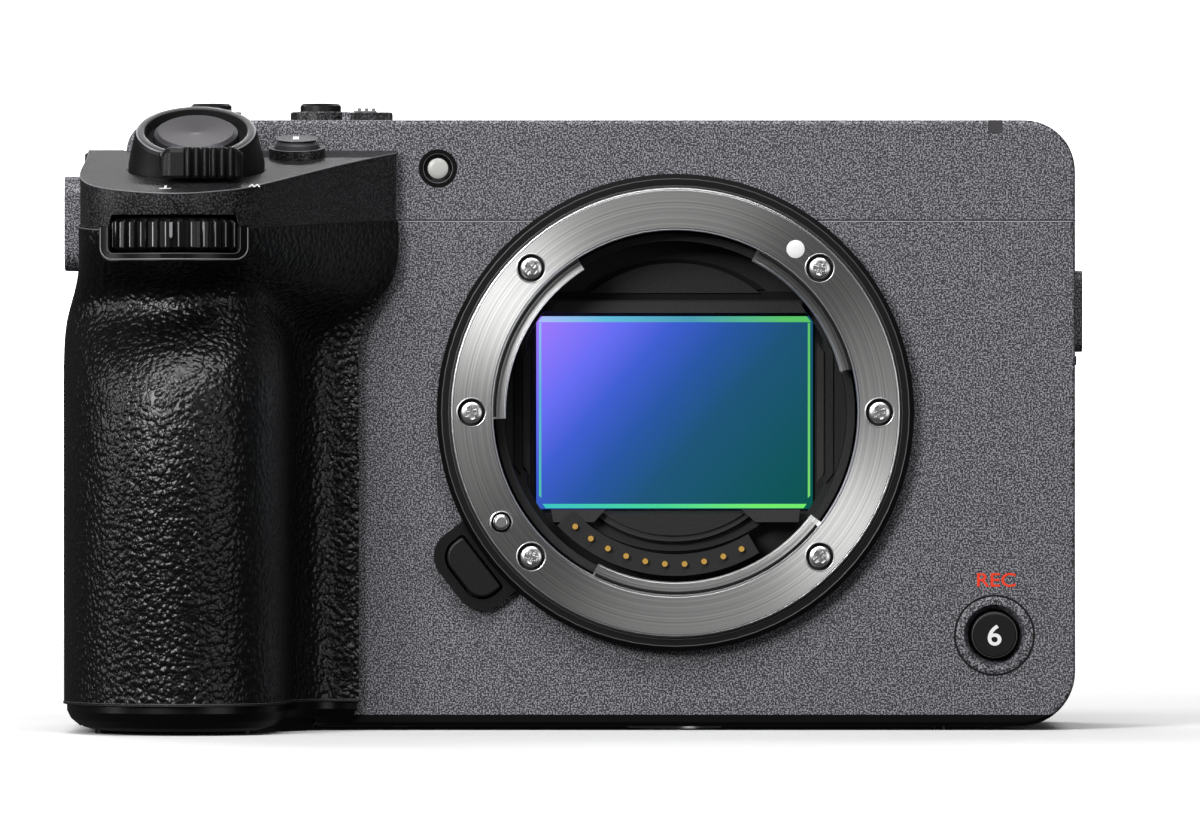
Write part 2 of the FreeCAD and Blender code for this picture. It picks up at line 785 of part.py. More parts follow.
def make_rear_cover(rear):
    """The rear cover with openings for the keys, the cards and the connectors."""
    wall = S.case_wall
    back = S.case_rear - wall - 1
    cuts = [
        chamber_box("chamber_in_rear", S.chamber_wall),
        box("card_window", (-S.case_left - 1, -S.case_left + wall + 1), (S.case_split - 1, 26.0),
            (S.base_parting + 4, S.top_parting - 4)),
        box("port_window", (S.case_right - 5, S.case_right + 1),
            (S.port_door_front, S.port_door_rear), (S.port_door_bottom, S.port_door_top)),
        rod("wheel_hole", "y", (S.wheel_x, back, S.wheel_z), S.wheel_radius + S.button_gap, 5),
        rod("joystick_hole", "y", (S.joystick_x, back, S.joystick_z), 1.9, 5),
    ]
    cuts += [rod(f"key_hole_{name}", "y", (x, back, z), S.rear_key_radius + S.button_gap, 5)
             for name, x, z in rear_keys()]
    cuts += [box(f"exhaust_gap_{i}", (S.case_right - wall - 1, S.case_right + 1),
                 (S.port_door_front + 1, S.port_door_rear - 1), (51.5 + 3.2 * i, 53.1 + 3.2 * i))
             for i in range(4)]
    keep("rear_cover", cut("rear_cover", rear, *cuts))


def rear_keys():
    """Name and place of the round keys on the rear."""
    return (("menu_button", S.wheel_x + 8.5, S.joystick_z - 7.5),
            ("function_button", S.wheel_x - 8.0, S.joystick_z - 7.0),
            ("playback_button", S.wheel_x - 6.5, S.wheel_z - 15.5))


def make_bottom_cover(lower):
    """The black bottom cover with its feet and the hole for the tripod socket."""
    feet = [rod(f"foot_{i}", "z", (x, y, 0), radius, S.case_base + 0.3)
            for i, (x, y, radius) in enumerate(((34.0, -12.0, 0.9), (34.0, 20.0, 3.0),
                                                (-62.0, 20.0, 3.0)))]
    whole = fuse("bottom_whole", lower, *feet)
    cuts = [
        rod("tripod_hole", "z", (0, 0, -1), S.tripod_outer + S.seat_gap, 5),
        chamber_box("chamber_in_bottom", S.chamber_wall + S.fit_gap),
        door_block("door_in_bottom", S.door_gap, 5.0, 0.2),
    ]
    keep("bottom_cover", cut("bottom_cover", whole, *cuts))


def door_block(name, grow, sunk=0.0, over=0.0):
    """The battery door's block, grown all round by a gap, sunk below it or raised over it."""
    right = -S.door_pivot + 1.0 + grow
    left = -S.battery_right - S.battery_width + 1.6 - grow
    front = -S.battery_front - 1.0 - grow
    rear = -S.battery_front + S.battery_depth + 2.0 + grow
    corners = [(left, front, 1.5), (-53.5 + grow, front, 1.5), (-50.4 + grow, -21.0 - grow, 2.0),
               (right, -16.0 - grow, 1.0), (right, rear), (left, rear, 1.5)]
    return extruded(name, "XY", corners, -sunk, S.door_thickness + over)


def make_grip():
    """The grip's frame, its rubber skin, the sloping deck above and the smooth base below."""
    parting_z = S.top_parting
    foot = S.grip_foot
    above_seam = parting_z.value + 3.0
    below_seam = parting_z.value - 3.0
    outer = grip_shape("grip_outer", foot.value, above_seam, 0.0)
    inner = grip_shape("grip_inner", foot.value, above_seam, S.skin.value)
    above = sloped_half("above_deck_parting", -S.case_front, parting_z, S.deck_parting_slope, True)
    below = sloped_half("below_deck_parting", -S.case_front, parting_z, S.deck_parting_slope, False)
    dial_room = front_dial_room()
    boss_room = boss_block("boss_in_grip", 0.0)
    card_cut = card_door_block("card_door_in_grip", S.door_gap)
    bezel_room = dial_bezel_block("bezel_in_grip")
    skin = cut("grip_skin", outer, inner, above)
    keep("grip_rubber", cut("grip_rubber", skin, dial_room, bezel_room, boss_room, card_cut))

    cavity = chamber_box("battery_cavity", 0)
    everywhere = (-FAR, FAR)
    chamber = common("chamber_in_case", chamber_box("battery_chamber", S.chamber_wall),
                     box("case_side", (-S.case_left, FAR), (-S.case_front, FAR), everywhere))

    lower = foot_slab("grip_low", ((2.0, 1.6), (foot.value, 1.6)))
    core = cut("grip_core", inner, copy_of(above, "above_parting_again"))
    frame = fuse("grip_frame_whole", core, lower, chamber)
    frame = cut("grip_frame", frame, cavity, copy_of(dial_room, "dial_room_again"),
                copy_of(bezel_room, "bezel_room_again"), copy_of(boss_room, "boss_room_again"),
                copy_of(card_cut, "card_cut_again"), card_slot_block("slots_in_grip", 0.1))
    keep("grip_frame", frame)

    base = foot_slab("base_block", ((0.5, 3.2), (0.9, 1.9), (1.8, 0.8), (2.8, 0.3),
                                    (foot.value, 0.3)))
    base = cut("grip_base", base, copy_of(lower, "grip_low_again"),
               door_block("door_in_base", S.door_gap, 5.0, 0.2), copy_of(cavity, "cavity_in_base"))
    keep("grip_base", base)

    deck = grip_shape("deck_block", below_seam, S.deck_back.value, 0.25)
    slope = sloped_half("above_deck", -S.case_front, S.deck_back, S.deck_slope, True)
    collar = deck_rod("deck_collar", S.deck_collar, -2.0, 1.2)
    pedestal = lever_rod("lever_pedestal", S.lever_skirt - 0.2, -9.0, -S.lever_height - 0.1)
    post = lever_rod("shutter_collar", S.shutter_radius + 1.0, -9.0, -1.3)
    lever_room = lever_rod("lever_room", S.lever_skirt + 0.3, -S.lever_height - 0.1, 12.0)
    deck = cut("deck_sloped", deck, slope, below)
    deck = cut("deck_bored", deck, lever_room)
    deck = fuse("deck_whole", deck, collar, pedestal, post)
    deck = cut("grip_deck", deck, copy_of(dial_room, "dial_room_in_deck"),
               copy_of(bezel_room, "bezel_room_in_deck"), copy_of(boss_room, "boss_room_in_deck"),
               deck_rod("deck_button_hole", S.deck_button_radius + S.button_gap,
                        -2.0 - S.deck_button_travel, 5.0),
               lever_rod("shutter_hole", S.shutter_radius + S.button_gap,
                         -S.shutter_stem - S.shutter_travel - 0.2, 5.0))
    keep("grip_deck", deck)


def front_dial_room():
    """The space that the front dial and its axle turn in."""
    half = S.front_dial_width / 2 + S.dial_gap
    ends = S.front_dial_width / 2 + S.axle_end + 0.02
    disc = rod("front_dial_disc", "z", (S.front_dial_x, S.front_dial_y, S.front_dial_z - half),
               S.front_dial_radius + S.dial_gap, 2 * half)
    axle = rod("front_axle_room", "z", (S.front_dial_x, S.front_dial_y, S.front_dial_z - ends),
               S.axle_radius + S.seat_gap, 2 * ends)
    return fuse("front_dial_room", disc, axle)


def dial_bezel_block(name):
    """The block of the U-shaped bezel below and beside the front dial."""
    half = 9.4
    low = S.front_dial_z - S.front_dial_width / 2 - 1.2
    block = extruded(name, "XZ", [(S.front_dial_x - half, low, 1.6),
                                  (S.front_dial_x + half, low, 1.6),
                                  (S.front_dial_x + half, low + 4.4),
                                  (S.front_dial_x - half, low + 4.4)],
                     -S.grip_front - 0.2, -S.grip_front + 7.5)
    return block


def ribbed_wheel(name, radius, width, ribs, depth):
    """A dial with ribs cut in its rim, drawn on its own axis."""
    chamfer = 0.4
    blank = revolved(name + "_blank", [(0, 0), (radius - chamfer, 0), (radius, chamfer),
                                       (radius, width - chamfer), (radius - chamfer, width),
                                       (0, width)], (0, 0, 0))
    step = 360.0 / ribs
    notches = []
    for i in range(ribs):
        x, y = ring_point(radius + 0.15, step * i)
        notches.append(rod(f"{name}_notch_{i}", "z", (x, y, -1), depth, width + 2))
    return cut(name + "_wheel", blank, *notches)


def make_dials():
    """The front dial with its bezel, and the rear dial."""
    width = S.front_dial_width
    dial = ribbed_wheel("front", S.front_dial_radius, width, 26, 0.55)
    axle = rod("front_axle", "z", (0, 0, -S.axle_end), S.axle_radius, width + 2 * S.axle_end)
    place = (S.front_dial_x, S.front_dial_y, S.front_dial_z - width / 2)
    keep("front_dial", fuse("front_dial", dial, axle), place)

    nose = rod("nose_form", "z", (S.front_dial_x, S.front_dial_y + 1.6,
                                 S.front_dial_z - 12.7), 11.5, 20.0)
    bezel = common("bezel_curved", dial_bezel_block("bezel_block"), nose)
    room = copy_of(doc.getObject("front_dial_room"), "dial_room_in_bezel")
    mouth = box("bezel_mouth", (S.front_dial_x - 8.2, S.front_dial_x + 8.2),
                (-FAR, -S.grip_front + 4.0), (S.front_dial_z - width / 2 - 0.2, FAR))
    keep("dial_bezel", cut("dial_bezel", bezel, room, mouth))

    width = S.rear_dial_width
    dial = ribbed_wheel("rear", S.rear_dial_radius, width, 24, 0.55)
    axle = rod("rear_axle", "z", (0, 0, -S.dial_gap), S.axle_radius, width + 2 * S.dial_gap)
    place = (S.rear_dial_x, rear_dial_y(), S.rear_dial_z - width / 2)
    keep("rear_dial", fuse("rear_dial", dial, axle), place)


def make_lever():
    """The zoom lever round the shutter button, and the button itself."""
    low = -S.lever_height
    rim, skirt, bore = S.lever_rim, S.lever_skirt, S.lever_bore
    tilt = Rotation(Vector(1, 0, 0), S.lever_tilt.value)
    ring = revolved("lever_ring", [(bore, low), (skirt, low), (skirt, low + 0.8), (rim + 0.3, -0.6),
                                   (rim, -0.1), (bore + 0.3, -0.1), (bore, -0.5)], (0, 0, 0))
    reach = 10.9
    tab = extruded("lever_tab", "XY", [(-3.9, -reach + 1.1, 1.2), (5.6, -reach + 0.7, 1.2),
                                       (5.0, -6.9), (-4.4, -6.9)], low + 3.5, 0.25)
    ribs = [rod(f"tab_rib_{i}", "z", (-1.9 + 1.25 * i, -reach - 0.15 + 0.12 * abs(i - 2), low + 2),
                0.42, 5.5) for i in range(6)]
    lever = cut("lever_shape", fuse("lever_whole", ring, tab), *ribs)
    keep("zoom_lever", lever, lever_point(0, 0, 0), tilt, S.lever_tilt)
    radius = S.shutter_radius
    foot = -S.shutter_stem
    button = revolved("shutter_form", [(0, foot), (2.0, foot), (2.0, -3.0), (radius, -3.0),
                                       (radius, -0.35), (radius - 0.5, 0), (0, -0.25)], (0, 0, 0))
    keep("shutter_button", button, lever_point(0, 0, 0), tilt, S.lever_tilt)
    radius = S.deck_button_radius
    cap = revolved("deck_button_form", [(0, -1.7), (radius, -1.7), (radius, 1.7),
                                        (radius - 0.4, 2.1), (0, 2.1)], (0, 0, 0))
    keep("deck_button", cap, deck_point(0), Rotation(Vector(1, 0, 0), S.deck_slope.value),
         S.deck_slope)


def boss_block(name, inset):
    """The block of the grip side's thread boss, which stands out of the flank."""
    half_y, half_z = 6.0 - inset, 6.05 - inset
    y, z = S.side_thread_y, S.grip_thread_z
    return extruded(name, "YZ", [(y - half_y, z - half_z, 2.5), (y + half_y, z - half_z, 2.5),
                                 (y + half_y, z + half_z, 2.5), (y - half_y, z + half_z, 2.5)],
                    -S.grip_left - 0.6, -S.case_left - 1.0)


def make_threads():
    """The side bosses, the steel thread inserts, the tripod socket and the strap lugs."""
    bore, length = S.thread_bore, S.thread_length
    outer, whole = S.insert_outer, S.insert_length
    y, z = S.side_thread_y, S.side_thread_z
    right_end = S.case_right + S.boss_proud
    left_end = -S.grip_left - 0.6
    right = extruded("right_boss", "YZ", [(y - 5.6, z - 5.2, 1.6), (y + 5.6, z - 5.2, 1.6),
                                          (y + 5.6, z + 5.2, 1.6), (y - 5.6, z + 5.2, 1.6)],
                     S.case_right, right_end)
    left = boss_block("left_boss", 0.0)
    holes = fuse("boss_holes", rod("right_boss_hole", "x", (45.0, y, z), outer + S.seat_gap, 20),
                 rod("left_boss_hole", "x", (-90.0, y, S.grip_thread_z), outer + S.seat_gap, 40))
    keep("side_bosses", cut("side_bosses", group("boss_pair", [right, left]), holes))
    inserts = []
    for side, x in (("left", -S.insert_x), ("right", S.insert_x)):
        at = (x, S.insert_y, S.case_top - whole)
        body = rod(f"top_insert_{side}", "z", at, outer, whole)
        hole = rod(f"top_bore_{side}", "z", (x, S.insert_y, S.case_top - length), bore, length + 1)
        inserts.append(cut(f"top_thread_{side}", body, hole))
    body = rod("right_insert", "x", (right_end - whole, y, z), outer, whole)
    hole = rod("right_bore", "x", (right_end - length, y, z), bore, length + 1)
    inserts.append(cut("right_thread", body, hole))
    body = rod("left_insert", "x", (left_end, y, S.grip_thread_z), outer, whole)
    hole = rod("left_bore", "x", (left_end - 1, y, S.grip_thread_z), bore, length + 1)
    inserts.append(cut("left_thread", body, hole))
    keep("thread_inserts", group("thread_inserts", inserts))
    socket = rod("tripod_body", "z", (0, 0, 0), S.tripod_outer, 7.5)
    hole = rod("tripod_bore", "z", (0, 0, -1), bore, length + 1)
    keep("tripod_socket", cut("tripod_socket", socket, hole))


def strap_lug_shapes():
    """The two steel strap lugs that stand in notches of the top cover."""
    lugs = []
    for side, x in (("left", -S.case_left + 2.8), ("right", S.case_right - 8.0)):
        lug = extruded(f"lug_{side}", "XZ", [(x, S.case_top - 1.2), (x + 1.9, S.case_top - 1.2),
                                             (x + 1.9, S.case_top + 0.7, 0.6),
                                             (x, S.case_top + 0.7, 0.6)], 14.0, 22.0)
        lugs.append(lug)
    return lugs


def sector(name, inner, outer, low, high, start, finish):
    """A ring sector between two angles, on the lens axis."""
    sweep = finish - start
    turn = Rotation(Vector(0, 0, 1), start)
    solid = rod(name + "_solid", "z", (0, 0, low), outer, as_size(high) - low, sweep)
    solid.Placement.Rotation = turn
    bore = rod(name + "_bore", "z", (0, 0, as_size(low) - 1), inner, as_size(high) - low + 2)
    return cut(name, solid, bore)


def make_mount():
    """The steel bayonet ring, its trim ring, screws, lock pin and release button."""
    face = S.flange_depth
    back = face - S.ring_thickness
    ring = cut("ring_flat", rod("ring_disc", "z", (0, 0, back), S.ring_outer, S.ring_thickness),
               rod("ring_hole", "z", (0, 0, 0), S.ring_throat, 40))
    ring = chamfered("ring_edges", ring, 0.35, all_at("z", face))
    ear_top = face - S.ear_recess
    ears = [sector(f"ear_{i}", S.ear_throat, S.ring_throat + 0.2, ear_top - S.ear_thickness, ear_top,
                   start, finish)
            for i, (start, finish) in enumerate(((14.0, 63.3), (122.5, 182.0), (243.0, 323.0)))]
    ring = fuse("ring_with_ears", ring, *ears)
    seats = []
    screws = []
    for i, angle in enumerate(SCREW_ANGLES):
        x, y = ring_point(S.screw_circle, angle)
        seats.append(rod(f"screw_seat_{i}", "z", (x, y, face - 0.9), S.screw_recess, 2))
        seats.append(rod(f"screw_way_{i}", "z", (x, y, 0), S.screw_shank + 0.1, 30))
        head = rod(f"screw_head_{i}", "z", (x, y, face - 0.9), S.screw_head, 0.75)
        shank = rod(f"screw_shank_{i}", "z", (x, y, face - 6.0), S.screw_shank, 5.2)
        slots = [box(f"screw_slot_{i}_{j}", (x - a, x + a), (y - b, y + b), (face - 0.55, face + 1))
                 for j, (a, b) in enumerate(((0.75, 0.16), (0.16, 0.75)))]
        screws.append(cut(f"mount_screw_{i}", fuse(f"screw_{i}", head, shank), *slots))
    pin_x, pin_y = ring_point(S.lock_pin_circle, S.lock_pin_angle)
    pin_way = rod("pin_way", "z", (pin_x, pin_y, 0), S.lock_pin_radius + 0.3, 30)
    keep("mount_ring", cut("mount_ring", ring, pin_way, *seats), MOUNT_AT, MOUNT_TURN)
    keep("mount_screws", group("mount_screws", screws), MOUNT_AT, MOUNT_TURN)
    pin = rod("pin_rod", "z", (pin_x, pin_y, face - 5.5), S.lock_pin_radius, 5.5 + S.lock_pin_proud)
    pin = rounded("pin_round", pin, 0.4, all_at("z", face + S.lock_pin_proud))
    keep("lens_lock_pin", pin, MOUNT_AT, MOUNT_TURN)

    front = S.case_front
    trim_face = front + S.trim_height
    trim = rod("trim_disc", "z", (0, 0, front), S.trim_outer, S.trim_height)
    trim = chamfered("trim_edge", trim, 0.7, all_at("z", trim_face))
    lug = release_form("release_lug", 29.0, S.release_outer + 1.45, S.release_half + 1.5, 3.4, front,
                       front + 1.3)
    rim = release_form("release_room", S.release_inner - 0.25, S.release_outer + 0.25,
                       S.release_half + 0.25, 2.6, front - 5, front + 5)
    bore = rod("trim_bore", "z", (0, 0, 0), S.ring_outer + S.fit_gap, 40)
    trim = cut("mount_trim_ring", fuse("trim_whole", trim, lug), bore, rim)
    keep("mount_trim_ring", trim, MOUNT_AT, MOUNT_TURN)
    cap = release_form("release_cap", S.release_inner, S.release_outer, S.release_half, 2.4,
                       front - S.case_wall - 0.2, front + S.release_height)
    cap = rounded("lens_release_button", cap, 0.35, all_at("z", front + S.release_height))
    keep("lens_release_button", cap, MOUNT_AT, MOUNT_TURN)


def release_form(name, inner, outer, half, corner, low, high):
    """A D-shaped block: flat towards the mount, rounded outwards, on the release button's axis."""
    angle = S.release_angle
    corners = []
    for along, across, radius in ((inner, half, 0.5), (inner, -half, 0.5), (outer, -half, corner),
                                  (outer, half, corner)):
        across = as_size(across)
        corners.append((along * cosine(angle) + across * sine(angle),
                        along * sine(angle) - across * cosine(angle), radius))
    return extruded(name, "XY", corners, low, high)


def make_throat():
    """The black light baffle, the curved contact block and its gold pins."""
    back = 4.4
    front = S.case_front - 0.6
    tube = rod("baffle_tube", "z", (0, 0, back), S.ring_throat - 0.3, front - back)
    bore = rod("baffle_bore", "z", (0, 0, back + 3.0), S.ring_throat - 1.3, 20)
    gate = common("gate", box("gate_window", (-S.sensor_width / 2 - 1.2, S.sensor_width / 2 + 1.2),
                              (-S.sensor_height / 2 - 0.5, S.sensor_height / 2 + 0.5), (0, 12)),
                  rod("gate_round", "z", (0, 0, 0), S.aperture_radius, 12))
    baffle = cut("baffle_open", tube, bore, gate)
    wide = S.sensor_width / 2 - 1.5
    bar = box("upper_bar", (-wide, wide), (12.9, 14.4), (back + 2, back + 5.2))
    blocks = [box(f"lower_block_{i}", (low, low + 6.4), (-13.9, -12.9), (back + 2, back + 2.95))
              for i, low in enumerate((-15.4, 9.0))]
    seat = S.case_front - S.case_wall - S.post_depth
    flange = cut("baffle_flange", rod("flange_disc", "z", (0, 0, seat - 1.0), 25.0, 1.0),
                 rod("flange_bore", "z", (0, 0, 0), S.ring_throat - 1.3, 40))
    baffle = fuse("throat_baffle", baffle, flange, bar, *blocks)
    keep("throat_baffle", baffle, MOUNT_AT, MOUNT_TURN)
    first = S.contact_first.value
    last = first + 9 * S.contact_step.value
    block = sector("contact_strip", S.contact_circle - 1.25, S.contact_circle + 1.5, back + 3.0,
                   S.flange_depth - 5.2, first - 5.0, last + 5.0)
    holes = []
    pins = []
    for i in range(10):
        x, y = ring_point(S.contact_circle, S.contact_first + S.contact_step * i)
        holes.append(rod(f"pin_hole_{i}", "z", (x, y, 0), S.contact_pin_radius + S.seat_gap, 30))
        pin = rod(f"contact_pin_{i}", "z", (x, y, back + 3.0), S.contact_pin_radius,
                  S.flange_depth - 4.6 - back - 3.0)
        pins.append(pin)
    keep("contact_block", cut("contact_block", block, *holes), MOUNT_AT, MOUNT_TURN)
    keep("contact_pins", group("contact_pins", pins), MOUNT_AT, MOUNT_TURN)


def frame_ring(name, outer, inner, low, high):
    """A rectangular frame about the lens axis; outer and inner are half sizes."""
    return cut(name, box(name + "_plate", (-outer[0], outer[0]), (-outer[1], outer[1]), (low, high)),
               box(name + "_window", (-inner[0], inner[0]), (-inner[1], inner[1]),
                   (as_size(low) - 1, as_size(high) + 1)))


def make_sensor():
    """The image sensor under its glass, on a stage that slides in a stabiliser frame."""
    half_x, half_y = S.sensor_width / 2, S.sensor_height / 2
    border = 2.2
    keep("sensor_glass", box("sensor_glass", (-half_x - 1.4, half_x + 1.4),
                             (-half_y - 1.4, half_y + 1.4), (1.2, 1.9)), MOUNT_AT, MOUNT_TURN)
    keep("image_sensor", box("image_sensor", (-half_x, half_x), (-half_y, half_y), (-0.6, 0)),
         MOUNT_AT, MOUNT_TURN)
    walls = frame_ring("stage_walls", (half_x + border, half_y + border), (half_x + 0.3, half_y + 0.3),
                       -0.6, 1.2)
    plate = box("stage_plate", (-half_x - border, half_x + border),
                (-half_y - border, half_y + border), (-2.4, -0.6))
    keep("sensor_stage", fuse("sensor_stage", walls, plate), MOUNT_AT, MOUNT_TURN)
    room = S.stage_travel + 0.4
    moving = (half_x + border + 0.15, half_y + border + room)
    frame = frame_ring("stabiliser_form", (moving[0] + 3.0, moving[1] + 3.0), moving, -2.4, 0.4)
    keep("stabiliser_frame", frame, MOUNT_AT, MOUNT_TURN)
    lug = (moving[0] + 3.0 + room, moving[1] + 3.0 + 0.15)
    holder = frame_ring("holder_form", (lug[0] + 2.0, lug[1] + 2.0), lug, -2.4, 3.0)
    return holder


def make_chassis(holder):
    """The inner frame behind the front cover: it carries the mount, the sensor and the tripod socket."""
    wall = S.case_wall
    front = S.case_front - wall
    low = S.base_parting - S.lens_height
    plate = box("chassis_plate", (-33.0, 35.0), (low, 33.5), (front - 2.0, front))
    behind = front - 3.5
    opening = rod("chassis_opening", "z", (0, 0, behind), S.ring_throat + 0.3, 20)
    bed = box("chassis_bed", (-33.0, 35.0), (low, low + 2.0), (-18.0, front - 2.0))
    legs = [box(f"holder_leg_{i}", (x, x + 3.0), (low + 1, 8.0), (-2.4, front - 1.0))
            for i, x in enumerate((-28.2, 25.2))]
    posts = []
    threads = []
    for i, angle in enumerate(SCREW_ANGLES):
        x, y = ring_point(S.screw_circle, angle)
        posts.append(rod(f"screw_post_{i}", "z", (x, y, front - S.post_depth), S.post_radius,
                         S.flange_depth - S.ring_thickness - front + S.post_depth))
        threads.append(rod(f"screw_thread_{i}", "z", (x, y, behind), S.screw_shank + S.seat_gap, 20))
    pin_x, pin_y = ring_point(S.lock_pin_circle, S.lock_pin_angle)
    threads.append(rod("pin_guide", "z", (pin_x, pin_y, behind), S.lock_pin_radius + 0.25, 20))
    threads.append(release_form("release_way", S.release_inner - 0.6, S.release_outer + 0.6,
                                S.release_half + 0.6, 2.6, behind, 40))
    whole = fuse("chassis_whole", plate, bed, holder, *legs, *posts)
    socket = doc.addObject("Part::Cylinder", "socket_way")
    bind(socket, "Radius", S.tripod_outer + S.seat_gap)
    bind(socket, "Height", 30)
    put(socket, (0, low - 5, 0), Rotation(Vector(1, 0, 0), -90))
    chassis = cut("chassis", whole, opening, socket, *threads)
    keep("chassis", chassis, MOUNT_AT, MOUNT_TURN)


def make_electronics():
    """The main board, the finned heat sink behind it, and the fan in its housing."""
    front = S.board_back
    back = front + S.fan_width + 2.4
    keep("main_board", box("main_board", (-44.0, 41.0), (S.board_front, front),
                           (S.base_parting + 2.0, 62.0)))
    sink = box("sink_plate", (-40.0, 12.0), (front, front + 1.8), (12.0, 58.0))
    fins = [box(f"sink_fin_{i}", (-39.0, 11.0), (front + 1.8, back),
                (14.0 + 4.0 * i, 15.2 + 4.0 * i)) for i in range(11)]
    keep("heat_sink", fuse("heat_sink", sink, *fins))
    case = box("fan_case", (S.fan_x - 13.0, S.fan_x + 12.6), (front, back),
               (S.fan_z - 13.0, S.fan_z + 13.0))
    room = rod("fan_room", "y", (S.fan_x, front + 1.2, S.fan_z), S.fan_radius + 0.6, 30)
    outlet = box("fan_outlet", (S.fan_x, S.fan_x + 30), (front + 1.2, back + 1),
                 (S.fan_z + 3.0, S.fan_z + 10.0))
    pivot = rod("fan_pivot", "y", (S.fan_x, front + 0.6, S.fan_z), 1.0, S.fan_width)
    keep("fan_housing", fuse("fan_housing", cut("fan_shell", case, room, outlet), pivot))
    hub = rod("fan_hub", "y", (S.fan_x, front + 1.6, S.fan_z), S.fan_hub, S.fan_width)
    blades = []
    for i in range(9):
        blade = box(f"fan_blade_{i}", (0, S.fan_radius), (0, S.fan_width), (-0.4, 0.4))
        put(blade, (S.fan_x, front + 1.6, S.fan_z), Rotation(Vector(0, 1, 0), 40.0 * i))
        blades.append(blade)
    bore = rod("fan_bore", "y", (S.fan_x, front, S.fan_z), 1.05, 40)
    keep("fan_rotor", cut("fan_rotor", fuse("fan_wheel", hub, *blades), bore))


def round_cap(name, radius, low, high, at, turn="z"):
    """A button cap with a soft rim and a stem, drawn along its own axis."""
    low, high = as_size(low), as_size(high)
    return revolved(name, [(0, low - 1.6), (radius * 0.45, low - 1.6), (radius * 0.45, low),
                           (radius, low), (radius, high - 0.3), (radius - 0.35, high),
                           (0, high)], at, turn)


def make_front_and_top_parts():
    """The record button, the two top buttons, the power switch, the windows and the shoe."""
    top = S.case_top
    front = S.case_front
    at = (S.record_x, 0, S.record_z)
    ring = revolved("record_ring_form", [(S.record_cap + 0.25, front - 3.0),
                                         (S.record_ring, front - 3.0), (S.record_ring, front),
                                         (S.record_ring - 0.5, front + 0.15),
                                         (S.record_recess, front + 0.15),
                                         (S.record_cap + 0.25, front - 1.4)], at, "front")
    keep("record_button_ring", ring)
    keep("record_button", round_cap("record_form", S.record_cap, front - 2.2,
                                    front + S.record_proud, at, "front"))
    for name, x in (("custom_button", S.left_button_x), ("top_record_button", S.right_button_x)):
        keep(name, round_cap(name + "_form", S.cap_radius, top - 2.4, S.cap_top,
                             (x, S.top_button_y, 0)))
    pad_top = S.collar_top - 0.1
    slider = fuse("power_whole", box("power_plate", (-41.3, -38.4), (S.top_button_y - 2.2,
                                                                    S.top_button_y + 2.2),
                                     (pad_top, pad_top + 0.25)),
                  *[box(f"power_ridge_{i}", (-40.8 + 0.9 * i, -40.4 + 0.9 * i),
                        (S.top_button_y - 1.8, S.top_button_y + 1.8), (pad_top + 0.1, pad_top + 0.6))
                    for i in range(3)])
    keep("power_switch", slider)
    sensor = revolved("light_form", [(0, front - S.case_wall), (S.light_sensor_radius - 0.05,
                                                                front - S.case_wall),
                                     (S.light_sensor_radius - 0.05, front + 0.1),
                                     (1.9, front + 0.1), (1.35, front - 0.35), (0, front - 0.2)],
                      (S.light_sensor_x, 0, S.light_sensor_z), "front")
    keep("light_sensor", sensor)
    half = S.tally_width / 2 - S.seat_gap
    keep("tally_window", box("tally_window", (S.tally_x - half, S.tally_x + half),
                             (-front, S.case_wall - front), (top - S.tally_height + S.seat_gap, top)))
    channel = S.shoe_width / 2
    slot = S.shoe_slot / 2
    outside = channel + S.shoe_wall
    floor = top - S.shoe_lip - S.shoe_channel
    rails = extruded("shoe_form", "XZ", [(-outside, floor - S.shoe_wall), (outside, floor - S.shoe_wall),
                                         (outside, top), (slot, top), (slot, top - S.shoe_lip),
                                         (channel, top - S.shoe_lip), (channel, floor),
                                         (-channel, floor), (-channel, top - S.shoe_lip),
                                         (-slot, top - S.shoe_lip), (-slot, top), (-outside, top)],
                     S.shoe_front, S.case_rear - 0.3)
    keep("accessory_shoe", rails)


def make_rear_parts():
    """The control wheel with its centre key, the joystick and the round keys."""
    rear = S.case_rear
    at = (S.wheel_x, 0, S.wheel_z)
    wheel = revolved("wheel_form", [(S.wheel_bore, rear - 1.4), (S.wheel_radius, rear - 1.4),
                                    (S.wheel_radius, rear + 0.6), (S.wheel_radius - 0.9, rear + 1.3),
                                    (S.wheel_bore + 0.8, rear + 1.1), (S.wheel_bore, rear + 0.6)],
                     at, "y")
    notches = []
    for i in range(30):
        x, z = ring_point(S.wheel_radius - 0.1, 12 * i)
        notches.append(rod(f"wheel_notch_{i}", "y", (S.wheel_x + x, rear + 0.5, S.wheel_z + z), 0.35, 2))
    keep("control_wheel", cut("control_wheel", wheel, *notches))
    keep("select_button", round_cap("select_form", S.wheel_bore - 0.3, rear - 1.6, rear + 1.0, at, "y"))
    for name, x, z in rear_keys():
        keep(name, round_cap(name + "_form", S.rear_key_radius, rear - 1.6, rear + 0.8, (x, 0, z), "y"))
    stick = revolved("joystick_form", [(0, rear - 3.0), (1.2, rear - 3.0), (1.2, rear + 0.6),
                                       (2.2, rear + 1.2), (2.2, rear + 2.4), (1.8, rear + 2.9),
                                       (0, rear + 2.6)], (S.joystick_x, 0, S.joystick_z), "y")
    ball = doc.addObject("Part::Sphere", "joystick_ball")
    bind(ball, "Radius", S.joystick_ball)
    put(ball, (S.joystick_x, rear - S.joystick_depth, S.joystick_z))
    keep("joystick", fuse("joystick", stick, ball))


